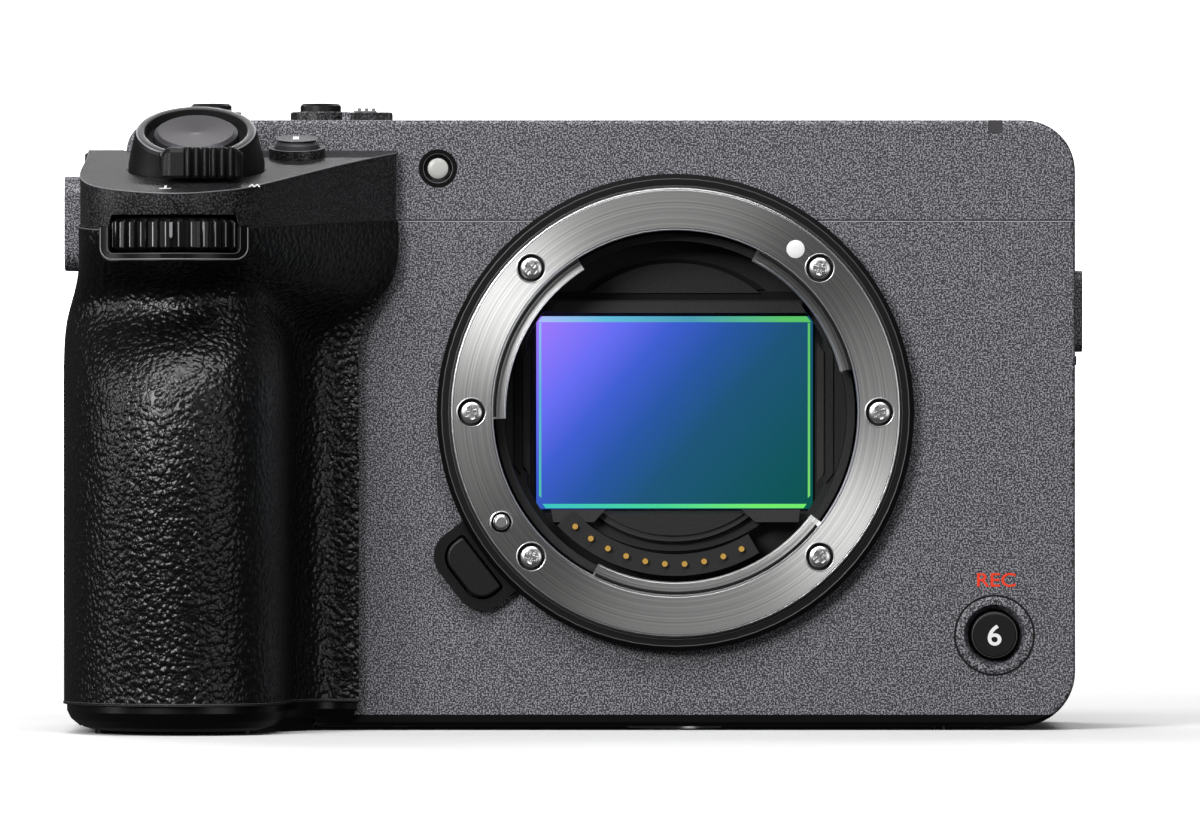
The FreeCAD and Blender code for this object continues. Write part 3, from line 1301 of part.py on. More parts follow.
def make_monitor():
    """The hinged monitor: its arm, its shell and its glass."""
    near = S.case_rear + S.screen_gap
    far = near + S.screen_thickness
    wide = (-S.screen_left, S.screen_right)
    shell = extruded("screen_block", "XZ", [(wide[0], S.screen_bottom, 3.0), (wide[1], S.screen_bottom, 1.2),
                                            (wide[1], S.screen_top, 1.2), (wide[0], S.screen_top, 3.0)],
                     near, far)
    shell = rounded("screen_round", shell, 0.8, all_at("y", near))
    margin = 3.2
    glass = (wide[0] + margin, wide[1] - margin)
    tall = (S.screen_bottom + margin, S.screen_top - margin)
    pocket = box("glass_pocket", glass, (far - 1.0, FAR), tall)
    pin_y = near + S.screen_thickness / 2
    notch = box("arm_notch", (S.screen_right - 3.0, FAR), (0, FAR),
                (S.screen_bottom + 14.0, S.screen_top - 14.0))
    keep("monitor_shell", cut("monitor_shell", shell, pocket, notch))
    keep("monitor_glass", box("monitor_glass", glass, (far - 1.0, far), tall))
    low, high = S.screen_bottom + 14.2, S.screen_top - 14.2
    arm = box("arm_block", (S.screen_right - 2.8, S.monitor_hinge_x), (near + 0.4, far - 0.4), (low, high))
    barrel = rod("arm_barrel", "z", (S.monitor_hinge_x, pin_y, low), S.hinge_radius, high - low)
    hole = rod("arm_bore", "z", (S.monitor_hinge_x, pin_y, low - 1), 1.05, high - low + 2)
    keep("monitor_arm", cut("monitor_arm", fuse("arm_whole", arm, barrel), hole))
    pin = rod("hinge_rod", "z", (S.monitor_hinge_x, pin_y, low - 3.2), 1.0, high - low + 6.4)
    ears = []
    for i, z in enumerate((low - 3.4, high + 0.2)):
        knuckle = rod(f"knuckle_{i}", "z", (S.monitor_hinge_x, pin_y, z), S.hinge_radius, 3.2)
        foot = box(f"knuckle_foot_{i}", (S.monitor_hinge_x - 1.8, S.monitor_hinge_x + 1.8),
                   (S.case_rear, pin_y), (z, z + 3.2))
        ears += [knuckle, foot]
    keep("monitor_hinge", fuse("monitor_hinge", pin, *ears))


def card_door_block(name, grow):
    """The block that holds the card door, in the grip's left flank."""
    return box(name, (-FAR, -S.grip_left + S.card_door_depth + grow),
               (S.card_door_front - grow, S.card_door_rear + grow),
               (S.card_door_bottom - grow, S.card_door_top + grow))


def card_slot_block(name, grow):
    """The block of the two memory card slots behind the card door."""
    front = -S.battery_front + S.battery_depth + S.battery_gap + S.chamber_wall + 0.3
    return box(name, (-S.grip_left + S.card_door_depth + S.door_gap - grow, -52.0 + grow),
               (front - grow, S.card_door_rear + grow), (26.0 - grow, 54.0 + grow))


def make_doors():
    """The card door and slots, and the port door with the connector block behind it."""
    whole = grip_shape("flank_form", 10.0, 62.0, 0.0)
    keep("card_door", common("card_door", whole, card_door_block("card_door_block", 0.0)))
    slots = card_slot_block("slot_block", 0.0)
    first = S.card_door_front + 0.9
    gaps = [box(f"card_gap_{i}", (-FAR, -56.0),
                (first + S.card_pitch * i, first + S.card_pitch * i + S.card_gap), (28.5, 51.5))
            for i in range(2)]
    keep("card_slots", cut("card_slots", slots, *gaps))
    right = S.case_right
    gap = S.door_gap
    low, high = S.port_door_bottom + gap, S.port_door_top - gap
    half = S.case_wall / 2
    hinge_y = S.port_door_rear - gap - half
    plate = box("port_plate", (right - S.case_wall, right), (S.port_door_front + gap, hinge_y),
                (low, high))
    barrel = rod("port_barrel", "z", (right - half, hinge_y, low), half - S.hinge_slack, high - low)
    door = fuse("port_leaf", plate, barrel)
    tab = box("port_tab", (right - 0.5, right + 1.05), (S.port_door_front + 1.0, S.port_door_front + 6.0),
              (high - 1.2, high))
    keep("port_door", fuse("port_door", door, tab))
    block = box("jack_body", (right - 8.5, right - S.case_wall - 0.3),
                (S.port_door_front + 0.5, S.port_door_rear - 0.5),
                (S.port_door_bottom + 0.5, S.port_door_top - 0.5))
    mouths = [
        box("video_mouth", (right - 7.5, FAR), (9.5, 14.4), (29.0, 44.0)),
        box("data_mouth", (right - 7.5, FAR), (17.6, 20.8), (32.0, 41.0)),
        rod("microphone_mouth", "x", (right - 7.5, 11.5, 19.5), 1.75, 20),
        rod("headphone_mouth", "x", (right - 7.5, 19.0, 19.5), 1.75, 20),
    ]
    keep("jack_block", cut("jack_block", block, *mouths))


def make_battery():
    """The battery pack, its hinged door and the door's sliding latch."""
    right = -S.battery_right
    left = right - S.battery_width
    front = -S.battery_front
    keep("battery_pack", box("battery_pack", (left, right), (front, front + S.battery_depth),
                             (S.base_parting + 0.1, S.base_parting + S.battery_height)))
    everywhere = (-FAR, FAR)
    half = S.door_thickness / 2
    leaf = box("door_leaf", (-FAR, -S.door_pivot), everywhere, everywhere)
    barrel = rod("door_barrel", "y", (-S.door_pivot, -FAR, half), half - S.hinge_slack, 2 * FAR)
    door = common("door_rolled", door_block("door_blank", 0), fuse("door_hinge_form", leaf, barrel))
    slot = box("latch_slot", (left + 3.4, left + 8.0), (-9.0, 3.0), (-1, 1.1))
    keep("battery_door", cut("battery_door", door, slot))
    latch = box("latch_plate", (left + 3.5, left + 7.9), (-5.4, 2.9), (0.35, 1.1))
    ridges = [box(f"latch_ridge_{i}", (left + 4.0, left + 7.4), (-4.6 + 1.6 * i, -3.9 + 1.6 * i),
                  (0.1, 0.6)) for i in range(4)]
    keep("battery_door_latch", fuse("battery_door_latch", latch, *ridges))


def make_all():
    """Builds every sub-part."""
    upper, lower, front, rear = make_case()
    make_top_cover(upper)
    make_front_cover(front)
    make_rear_cover(rear)
    make_bottom_cover(lower)
    make_grip()
    make_dials()
    make_lever()
    make_threads()
    make_mount()
    make_throat()
    holder = make_sensor()
    make_chassis(holder)
    make_electronics()
    make_front_and_top_parts()
    make_rear_parts()
    make_monitor()
    make_doors()
    make_battery()


def check_and_write():
    """Stops on any failed object, then writes each sub-part to its own file."""
    doc.recompute()
    for item in doc.Objects:
        if "Invalid" in item.State or "Error" in item.State:
            raise RuntimeError(f"{item.Name} failed: {item.State}")
    for name, item in NODES.items():
        if item.Shape.isNull() or not item.Shape.isValid() or not item.Shape.Solids:
            raise RuntimeError(f"{name} has no valid solid")
    os.makedirs("parts", exist_ok=True)
    for name, item in NODES.items():
        item.Shape.exportStep(f"parts/{name}.step")
        print(name, len(item.Shape.Solids), round(item.Shape.Volume, 1))
    print(len(NODES), "sub-parts")


make_all()
check_and_write()
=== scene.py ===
"""Looks of a cinema camera body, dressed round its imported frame.

Metres throughout, in the frame of the part: X to the right seen from the front, the lens looks
along -Y, Z is up, and the origin is the mouth of the tripod socket.
"""

import json
import logging
import math
from dataclasses import dataclass
from enum import Enum

import bmesh
import bpy
from mathutils import Matrix, Vector

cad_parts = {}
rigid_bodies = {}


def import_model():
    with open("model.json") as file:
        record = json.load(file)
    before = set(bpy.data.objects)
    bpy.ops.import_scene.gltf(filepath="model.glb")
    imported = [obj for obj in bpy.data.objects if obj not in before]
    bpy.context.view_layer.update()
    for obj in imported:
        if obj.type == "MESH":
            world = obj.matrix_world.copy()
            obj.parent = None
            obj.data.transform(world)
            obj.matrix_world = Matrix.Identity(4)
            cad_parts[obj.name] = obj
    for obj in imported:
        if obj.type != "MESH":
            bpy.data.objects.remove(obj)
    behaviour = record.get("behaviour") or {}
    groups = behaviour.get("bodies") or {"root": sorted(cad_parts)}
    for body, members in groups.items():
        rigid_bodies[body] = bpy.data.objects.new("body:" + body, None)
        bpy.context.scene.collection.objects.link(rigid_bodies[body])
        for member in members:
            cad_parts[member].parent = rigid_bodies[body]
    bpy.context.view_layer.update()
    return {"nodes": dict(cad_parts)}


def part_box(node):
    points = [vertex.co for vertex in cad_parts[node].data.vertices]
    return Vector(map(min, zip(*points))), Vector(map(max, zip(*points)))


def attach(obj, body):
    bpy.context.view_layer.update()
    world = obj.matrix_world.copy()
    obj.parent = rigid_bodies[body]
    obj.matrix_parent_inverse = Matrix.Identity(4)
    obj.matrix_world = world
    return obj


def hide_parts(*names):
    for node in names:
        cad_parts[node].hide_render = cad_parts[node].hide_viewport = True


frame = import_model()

log = logging.getLogger("camera_looks")

Point = tuple[float, float, float]
Outline = list[tuple[float, float]]
Profile = tuple[tuple[float, float], ...]

MM = 0.001
UP = Vector((0.0, 0.0, 1.0))
LENS_CENTRE = Vector((0.0, 0.0, 40.5 * MM))
SENSOR_HALF = Vector((17.8 * MM, 0.0, 12.4 * MM))
CASE_FRONT = -14.8 * MM
# Faces that meet at more than this many degrees keep a sharp edge.
CREASE = 32.0
# Points of a mesh that are closer than this, in metres, are one.
WELD = 2e-6
# The deck's height at the case front, in millimetres, and its slope in degrees.
DECK_Z = 73.9
DECK_SLOPE = 10.0
DECK_TURN = Matrix.Rotation(math.radians(DECK_SLOPE), 4, "X")
LEVER_TURN = Matrix.Rotation(math.radians(26.0), 4, "X")
# A turn that makes Z look forward.
FORWARD = Matrix.Rotation(math.radians(90.0), 4, "X")
LEVER_CENTRE = Vector((-60.5, -32.3, 76.0))


def linear(code: str) -> tuple[float, float, float, float]:
    """Turns an sRGB hex colour to linear.

    Args:
        code: Six hex digits after a hash sign.

    Returns:
        Red, green, blue and alpha, from 0 to 1.
    """
    parts = [int(code[i:i + 2], 16) / 255 for i in (1, 3, 5)]
    lin = [p / 12.92 if p <= 0.04045 else ((p + 0.055) / 1.055) ** 2.4 for p in parts]
    return lin[0], lin[1], lin[2], 1.0


def per_metre(size_mm: float) -> float:
    """Texture scale that makes one cell of a pattern this many millimetres wide."""
    return 1.0 / (size_mm * MM)


def add_node(tree: bpy.types.NodeTree, kind: str, settings: dict | None = None,
             inputs: dict | None = None, links: dict | None = None) -> bpy.types.Node:
    """Adds a shader node.

    Args:
        tree: The material's node tree.
        kind: Blender's name of the node type.
        settings: Properties of the node.
        inputs: Values for its input sockets.
        links: Output sockets to join to its input sockets.

    Returns:
        The new node.
    """
    node = tree.nodes.new(kind)
    for key, value in (settings or {}).items():
        setattr(node, key, value)
    for key, value in (inputs or {}).items():
        node.inputs[key].default_value = value
    for key, output in (links or {}).items():
        tree.links.new(output, node.inputs[key])
    return node


def ramp(tree: bpy.types.NodeTree, source: bpy.types.NodeSocket,
         stops: tuple[tuple[float, str], ...]) -> bpy.types.NodeSocket:
    """Maps a number to colours.

    Args:
        tree: The material's node tree.
        source: The number.
        stops: Place and hex colour of each stop.

    Returns:
        The colour output.
    """
    node = add_node(tree, "ShaderNodeValToRGB", links={"Fac": source})
    band = node.color_ramp
    while len(band.elements) < len(stops):
        band.elements.new(0.5)
    for element, (place, code) in zip(band.elements, stops):
        element.position = place
        element.color = linear(code)
    return node.outputs["Color"]


def spots(tree: bpy.types.NodeTree, size_mm: float, detail: float = 2.0,
          kind: str = "ShaderNodeTexNoise") -> bpy.types.NodeSocket:
    """Fine noise in the part's own frame.

    Args:
        tree: The material's node tree.
        size_mm: Width of one spot.
        detail: Octaves of finer noise.
        kind: Blender's name of the texture node.

    Returns:
        The noise, from 0 to 1.
    """
    place = add_node(tree, "ShaderNodeTexCoord").outputs["Object"]
    node = add_node(tree, kind, inputs={"Scale": per_metre(size_mm), "Detail": detail},
                    links={"Vector": place})
    return node.outputs[0]


def relief(tree: bpy.types.NodeTree, shader: bpy.types.Node, height: bpy.types.NodeSocket,
           depth_mm: float, strength: float) -> None:
    """Joins a height pattern to a shader's normal.

    Args:
        tree: The material's node tree.
        shader: The shader node.
        height: The pattern, from 0 to 1.
        depth_mm: Depth of the pattern.
        strength: Share of the relief that shows.
    """
    bump = add_node(tree, "ShaderNodeBump", inputs={"Strength": strength, "Distance": depth_mm * MM},
                    links={"Height": height})
    tree.links.new(bump.outputs["Normal"], shader.inputs["Normal"])


@dataclass(frozen=True)
class Finish:
    """A plain surface, which the patterned ones build on.

    The defaults are those of a matt moulded plastic. The gloss is how strongly it mirrors when seen
    straight on, with 0.5 for plastic and glass. A metal keeps the default IOR and has no gloss of its own.
    """

    name: str
    colour: str
    roughness: float = 0.5
    metallic: float = 0.0
    coat: float = 0.0
    alpha: float = 1.0
    gloss: float = 0.5

    def material(self) -> bpy.types.Material:
        """The finish as a material, made once.

        Returns:
            The material.
        """
        known = bpy.data.materials.get(self.name)
        if known is not None:
            return known
        made = bpy.data.materials.new(self.name)
        made.use_nodes = True
        tree = made.node_tree
        shader = tree.nodes["Principled BSDF"]
        values = {"Base Color": linear(self.colour), "Roughness": self.roughness,
                  "Metallic": self.metallic, "Coat Weight": self.coat, "Alpha": self.alpha}
        if self.metallic < 1.0:
            values["Specular IOR Level"] = self.gloss
        for socket, value in values.items():
            shader.inputs[socket].default_value = value
        self.pattern(tree, shader)
        return made

    def pattern(self, tree: bpy.types.NodeTree, shader: bpy.types.Node) -> None:
        """A plain finish has no pattern."""


@dataclass(frozen=True)
class PowderCoat(Finish):
    """Baked powder paint on cast magnesium: pale flecks in dark grey, felt as a fine grit."""

    grain_mm: float = 0.19
    grit_mm: float = 0.05
    dark: str = "#1e1e22"
    pale: str = "#98989f"

    def pattern(self, tree: bpy.types.NodeTree, shader: bpy.types.Node) -> None:
        """Flecks of colour with a small bump under each.

        Args:
            tree: The material's node tree.
            shader: Its shader node.
        """
        flecks = spots(tree, self.grain_mm, 0.0)
        shade = ramp(tree, flecks, ((0.34, self.dark), (0.50, self.colour), (0.66, self.pale)))
        tree.links.new(shade, shader.inputs["Base Color"])
        relief(tree, shader, flecks, self.grit_mm, 0.55)


@dataclass(frozen=True)
class SyntheticLeather(Finish):
    """Moulded rubber with a leather grain: small uneven pebbles, wrinkled, with painted shade in the creases
    between them.
    """

    cell_mm: float = 0.78
    wrinkle_mm: float = 0.4
    drift_mm: float = 2.4
    shift_mm: float = 0.7
    depth_mm: float = 0.14
    crease: str = "#030303"

    def pattern(self, tree: bpy.types.NodeTree, shader: bpy.types.Node) -> None:
        """Two sizes of pebble, pushed about by slow noise so that no row lines up.

        Args:
            tree: The material's node tree.
            shader: Its shader node.
        """
        place = add_node(tree, "ShaderNodeTexCoord").outputs["Object"]
        drift = add_node(tree, "ShaderNodeTexNoise",
                         inputs={"Scale": per_metre(self.drift_mm), "Detail": 1.0}, links={"Vector": place})
        push = add_node(tree, "ShaderNodeVectorMath", {"operation": "SCALE"},
                        {"Scale": self.shift_mm * MM}, {0: drift.outputs["Color"]})
        bent = add_node(tree, "ShaderNodeVectorMath", {"operation": "ADD"},
                        links={0: place, 1: push.outputs[0]})
        heights = []
        for size, share in ((self.cell_mm, 1.0), (self.wrinkle_mm, 0.35)):
            cells = add_node(tree, "ShaderNodeTexVoronoi", {"feature": "SMOOTH_F1"},
                             {"Scale": per_metre(size), "Smoothness": 0.35},
                             {"Vector": bent.outputs[0]})
            # High in the middle of a cell, and flat in the creases between cells.
            dome = add_node(tree, "ShaderNodeMapRange", {"interpolation_type": "SMOOTHSTEP"},
                            {"From Min": 0.72, "From Max": 0.12, "To Max": share},
                            {"Value": cells.outputs["Distance"]})
            heights.append(dome.outputs[0])
        height = add_node(tree, "ShaderNodeMath", {"operation": "ADD"},
                          links={0: heights[0], 1: heights[1]})
        # The crease colour is painted shade: the grain is darker where it lies low.
        shade = ramp(tree, heights[0], ((0.1, self.crease), (0.7, self.colour)))
        tree.links.new(shade, shader.inputs["Base Color"])
        relief(tree, shader, height.outputs[0], self.depth_mm, 0.76)


@dataclass(frozen=True)
class SparkedPlastic(Finish):
    """Black ABS from a spark-eroded mould: a fine even texture that softens highlights.

    Real spark marks are under 0.1 mm. They are drawn at twice that and more, so that they show.
    """

    grain_mm: float = 0.2
    depth_mm: float = 0.03

    def pattern(self, tree: bpy.types.NodeTree, shader: bpy.types.Node) -> None:
        """An even fine grain."""
        relief(tree, shader, spots(tree, self.grain_mm, 1.0), self.depth_mm, 0.6)


@dataclass(frozen=True)
class TurnedSteel(Finish):
    """Stainless steel faced on a lathe: its grooves draw each light out into two bright fans.

    Real grooves are under 0.1 mm. They are drawn at twice that and more, so that they show.
    """

    stretch: float = 0.8
    groove_mm: float = 0.22
    groove: str = "#c8c8c8"

    def pattern(self, tree: bpy.types.NodeTree, shader: bpy.types.Node) -> None:
        """Round grooves about the lens axis, a little uneven, with painted shade in them.

        Args:
            tree: The material's node tree.
            shader: Its shader node.
        """
        shader.inputs["Anisotropic"].default_value = self.stretch
        # A quarter of a turn lays the highlight across the grooves.
        shader.inputs["Anisotropic Rotation"].default_value = 0.25
        tangent = add_node(tree, "ShaderNodeTangent", {"direction_type": "RADIAL", "axis": "Y"})
        tree.links.new(tangent.outputs[0], shader.inputs["Tangent"])
        place = add_node(tree, "ShaderNodeTexCoord").outputs["Object"]
        centred = add_node(tree, "ShaderNodeVectorMath", {"operation": "SUBTRACT"},
                           {1: LENS_CENTRE}, {0: place})
        radius = add_node(tree, "ShaderNodeVectorMath", {"operation": "LENGTH"},
                          links={0: centred.outputs[0]})
        grooves = add_node(tree, "ShaderNodeTexNoise", {"noise_dimensions": "1D"},
                           {"Scale": per_metre(self.groove_mm), "Detail": 2.0},
                           {"W": radius.outputs["Value"]})
        # The groove colour is painted shade: the steel is darker where a groove lies low.
        shade = ramp(tree, grooves.outputs[0], ((0.3, self.groove), (0.7, self.colour)))
        tree.links.new(shade, shader.inputs["Base Color"])
        relief(tree, shader, grooves.outputs[0], 0.003, 0.3)


@dataclass(frozen=True)
class PaintedGlowFilm(Finish):
    """Coated glass or silicon, with the run of colours that light makes on it painted in and given off as a
    glow.

    The colours run from one corner of the image sensor to the other, by how much each way counts.
    """

    stops: tuple[tuple[float, str], ...] = ()
    across: float = 1.0
    down: float = 0.0
    glow: float = 1.0

    def pattern(self, tree: bpy.types.NodeTree, shader: bpy.types.Node) -> None:
        """A painted run of colours, partly given off as a glow so that the dark throat doesn't drown them.

        Args:
            tree: The material's node tree.
            shader: Its shader node.
        """
        place = add_node(tree, "ShaderNodeTexCoord").outputs["Object"]
        parts = add_node(tree, "ShaderNodeSeparateXYZ", links={"Vector": place})
        right = add_node(tree, "ShaderNodeMapRange",
                         inputs={"From Min": -SENSOR_HALF.x, "From Max": SENSOR_HALF.x,
                                 "To Max": self.across}, links={"Value": parts.outputs["X"]})
        lower = add_node(tree, "ShaderNodeMapRange",
                         inputs={"From Min": LENS_CENTRE.z + SENSOR_HALF.z,
                                 "From Max": LENS_CENTRE.z - SENSOR_HALF.z, "To Max": self.down},
                         links={"Value": parts.outputs["Z"]})
        path = add_node(tree, "ShaderNodeMath", {"operation": "ADD"},
                        links={0: right.outputs[0], 1: lower.outputs[0]})
        shade = ramp(tree, path.outputs[0], self.stops)
        # The film is nearly black and hardly mirrors: what shows is the colour that it gives off.
        dim = add_node(tree, "ShaderNodeMix", {"data_type": "RGBA"}, {0: 0.97, 7: (0, 0, 0, 1)},
                       {6: shade})
        tree.links.new(dim.outputs[2], shader.inputs["Base Color"])
        tree.links.new(shade, shader.inputs["Emission Color"])
        shader.inputs["Emission Strength"].default_value = self.glow
        shader.inputs["Specular IOR Level"].default_value = 0.06


@dataclass(frozen=True)
class BrushedMetal(Finish):
    """Metal rubbed one way: fine streaks along X, drawn coarser than real so that they show."""

    streak_mm: float = 0.15
    drawn_out: float = 0.04

    def pattern(self, tree: bpy.types.NodeTree, shader: bpy.types.Node) -> None:
        """Long thin streaks.

        Args:
            tree: The material's node tree.
            shader: Its shader node.
        """
        place = add_node(tree, "ShaderNodeTexCoord").outputs["Object"]
        drawn = add_node(tree, "ShaderNodeMapping", inputs={"Scale": (self.drawn_out, 1.0, 1.0)},
                         links={"Vector": place})
        streaks = add_node(tree, "ShaderNodeTexNoise",
                           inputs={"Scale": per_metre(self.streak_mm), "Detail": 2.0},
                           links={"Vector": drawn.outputs[0]})
        relief(tree, shader, streaks.outputs[0], 0.01, 0.4)


class Finishes(Enum):
    """Every finish of the camera and its stage."""

    # Dark grey paint with pale flecks, the main face of the body.
    CASE = PowderCoat("powder_coated_magnesium", "#4c4c51", 0.5)
    # Soft black rubber; its pebbles break the highlight on the swell into sparks.
    LEATHER = SyntheticLeather("leather_grained_rubber", "#0a0a0a", 0.31)
    # Black mouldings: satin for keys and the monitor, flecked for the deck, smooth for the foot.
    SATIN = SparkedPlastic("spark_textured_abs", "#101011", 0.42, gloss=0.35)
    DECK = PowderCoat("deck_textured_abs", "#111112", 0.36, gloss=0.45, grain_mm=0.22,
                      dark="#050506", pale="#434345")
    SMOOTH = Finish("smooth_moulded_abs", "#060607", 0.32, gloss=0.3)
    # Grey, lighter than the black deck: painted light for the light that grazes the deck key from above.
    CAP = SparkedPlastic("button_plastic_painted_light", "#414144", 0.45, grain_mm=0.2)
    RUBBER = SparkedPlastic("matt_rubber", "#141414", 0.75, grain_mm=0.3)
    # Anodised and enamelled metal: a lighter shutter key, glossy dials, a satin ring round the mount.
    BUTTON = BrushedMetal("black_anodised_button", "#565358", 0.45, 0.7)
    ANODISED = Finish("black_anodised_aluminium", "#131314", 0.36, 0.2, gloss=0.35)
    DIAL = Finish("polished_black_anodising", "#1b1b1c", 0.24, 0.5)
    TRIM = SparkedPlastic("satin_black_enamel", "#0b0b0c", 0.45, gloss=0.25, grain_mm=0.2,
                          depth_mm=0.02)
    # Painted highlights on thin edges where paint, anodising or a mould line ends, and painted shade in unlit
    # gaps.
    SEAM_HIGHLIGHT = Finish("painted_seam_highlight", "#b0b0b5", 0.5)
    BRIGHT_EDGE = Finish("bright_grey_edge", "#a2a1a5", 0.35, 0.5)
    PALE_HIGHLIGHT = Finish("painted_pale_highlight", "#77777b", 0.4)
    DIM_HIGHLIGHT = Finish("painted_dim_highlight", "#48484a", 0.35)
    VOID = Finish("unlit_gap", "#020202", 0.9)
    # Bare metal: bright turned flange, brushed shoe and lugs, nickel screws, golden contacts.
    RING = TurnedSteel("turned_stainless_steel", "#f0f0ee", 0.33, 1.0)
    STEEL = BrushedMetal("machined_stainless_steel", "#b0b0b2", 0.3, 1.0)
    SCREW = Finish("nickel_plated_steel", "#e4e4e4", 0.3, 1.0)
    BLACK_SCREW = Finish("black_zinc_plated_steel", "#2a2a2b", 0.3, 0.8)
    GOLD = Finish("gold_plated_brass", "#f4c264", 0.3, 0.55)
    ALUMINIUM = BrushedMetal("cast_aluminium", "#a9abad", 0.42, 1.0)
    # Matt black mouldings of the throat, which swallow stray light, also laid as painted shade in gaps, and
    # lighter copies that are painted light on the faces of the throat's steps, the grey one also painted
    # shade in the record key's dish.
    BAFFLE = SparkedPlastic("matt_baffle_plastic", "#080809", 0.6, grain_mm=0.4)
    LEDGE = SparkedPlastic("baffle_plastic_faint_painted_light", "#141415", 0.5, grain_mm=0.4)
    BAR = SparkedPlastic("grey_painted_light_and_shade", "#262527", 0.5, grain_mm=0.4)
    WARM_LEDGE = SparkedPlastic("baffle_plastic_warm_painted_light", "#2c2826", 0.5, grain_mm=0.4)
    # The sensor's shimmer from violet to green is a painted glow, and its window's coated borders glow
    # brighter.
    SENSOR = PaintedGlowFilm("coated_silicon", "#2a58a8", 0.3, across=0.62, down=0.38, stops=(
        (0.0, "#a87cff"), (0.1, "#8a78ff"), (0.2, "#6a70f8"), (0.32, "#4060d4"), (0.45, "#2a58a8"),
        (0.6, "#1e567a"), (0.8, "#145664"), (1.0, "#08564e")))
    TOP_FILM = PaintedGlowFilm("upper_coated_edge", "#60c8e0", 0.3, stops=(
        (0.0, "#b0c4ff"), (0.25, "#66c0e0"), (0.55, "#4fa0b8"), (0.9, "#5cc868")))
    LOW_FILM = PaintedGlowFilm("lower_coated_edge", "#60e090", 0.3, stops=(
        (0.0, "#40c8c8"), (0.45, "#48d898"), (0.8, "#74f06c")))
    LEFT_FILM = PaintedGlowFilm("left_coated_edge", "#58c8c0", 0.3, across=0.0, down=1.0, stops=(
        (0.0, "#9ac0ff"), (0.4, "#60b8d8"), (1.0, "#50c8a8")))
    RIGHT_FILM = PaintedGlowFilm("right_coated_edge", "#70d070", 0.3, across=0.0, down=1.0, stops=(
        (0.0, "#5cc868"), (1.0, "#7ce070")))
    # Clear, dark, milky and smoked windows, and the green board inside.
    GLASS = Finish("coated_optical_glass", "#000000", 0.05, alpha=0.02)
    SCREEN = Finish("coated_screen_glass", "#050507", 0.06, coat=0.5)
    MILK = Finish("milky_acrylic", "#bdbdba", 0.3)
    TALLY = Finish("smoked_acrylic", "#4c4a4c", 0.2)
    BOARD = Finish("solder_mask_on_glass_fibre", "#0c3a22", 0.35)
    # Flat opaque inks, and the paper under the camera body.
    WHITE_INK = Finish("white_printing_ink", "#f2f2f2", 0.55)
    RED_INK = Finish("red_printing_ink", "#f03a10", 0.5)
    PAPER = Finish("studio_paper", "#f4f4f4", 0.9)


def dress(finish: Finishes, *nodes: str) -> None:
    """Gives nodes of the frame their finish.

    Args:
        finish: The finish.
        nodes: Names of the nodes.
    """
    for node in nodes:
        mesh = frame["nodes"][node].data
        mesh.materials.clear()
        mesh.materials.append(finish.value.material())


def link(name: str, data: bpy.types.ID, finish: Finishes, body: str) -> bpy.types.Object:
    """Puts a mesh or curve in the scene as a piece of the camera.

    Args:
        name: Name of the piece.
        data: Its mesh or curve, in the part's frame.
        finish: Its finish.
        body: The rigid body that it rides on.

    Returns:
        The piece.
    """
    data.name = name
    piece = bpy.data.objects.new(name, data)
    bpy.context.scene.collection.objects.link(piece)
    data.materials.clear()
    data.materials.append(finish.value.material())
    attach(piece, body)
    return piece


def soften(form: bmesh.types.BMesh) -> None:
    """Shades a form smoothly but for its sharp edges.

    Args:
        form: The form, which is changed.
    """
    crease = math.radians(CREASE)
    for face in form.faces:
        face.smooth = True
    for edge in form.edges:
        edge.smooth = len(edge.link_faces) == 2 and edge.calc_face_angle(0.0) < crease


def facing(x: float, y: float, z: float) -> Matrix:
    """A place, in millimetres, whose Z looks forward."""
    return Matrix.Translation((x, y, z)) @ FORWARD


def raised(place: Matrix, height: float) -> Matrix:
    """The place that stands this many millimetres higher along a place's own Z."""
    return place @ Matrix.Translation((0.0, 0.0, height))


def solid(points: list[Point], faces: list[tuple[int, ...]], place: Matrix | None = None) -> bpy.types.Mesh:
    """Makes a mesh from points in millimetres.

    Args:
        points: Its corners.
        faces: The corners of each face.
        place: Turn and place in the part's frame, in millimetres.

    Returns:
        The mesh.
    """
    mesh = bpy.data.meshes.new("form")
    form = bmesh.new()
    corners = [form.verts.new(((place or Matrix()) @ Vector(point)) * MM) for point in points]
    for face in faces:
        form.faces.new([corners[i] for i in face])
    bmesh.ops.recalc_face_normals(form, faces=form.faces)
    soften(form)
    form.to_mesh(mesh)
    form.free()
    return mesh


def wrapped(rings: list[list[Point]], place: Matrix | None = None, looped: bool = False) -> bpy.types.Mesh:
    """Makes a closed form through rings that all have as many points.

    Args:
        rings: The rings, from one end to the other.
        place: Turn and place in the part's frame, in millimetres.
        looped: The last ring joins the first, as in a hoop; if not, both ends are capped.

    Returns:
        The mesh.
    """
    count = len(rings[0])
    points = [point for ring in rings for point in ring]
    faces = []
    for i in range(len(rings) if looped else len(rings) - 1):
        here, there = i * count, (i + 1) % len(rings) * count
        faces += [(here + j, here + (j + 1) % count, there + (j + 1) % count, there + j)
                  for j in range(count)]
    if not looped:
        faces += [tuple(range(count)), tuple(range(len(points) - count, len(points)))]
    return solid(points, faces, place)


def circle(radius: float, height: float, steps: int = 72) -> list[Point]:
    """A ring of points about Z."""
    return [(radius * math.cos(math.tau * i / steps), radius * math.sin(math.tau * i / steps), height)
            for i in range(steps)]


def turned(profile: Profile, place: Matrix, looped: bool = False) -> bpy.types.Mesh:
    """A form turned about Z.

    Args:
        profile: Radius and height of each of its rings.
        place: Turn and place in the part's frame, in millimetres.
        looped: The last ring joins the first; if not, both ends are capped.

    Returns:
        The mesh.
    """
    return wrapped([circle(radius, height) for radius, height in profile], place, looped)


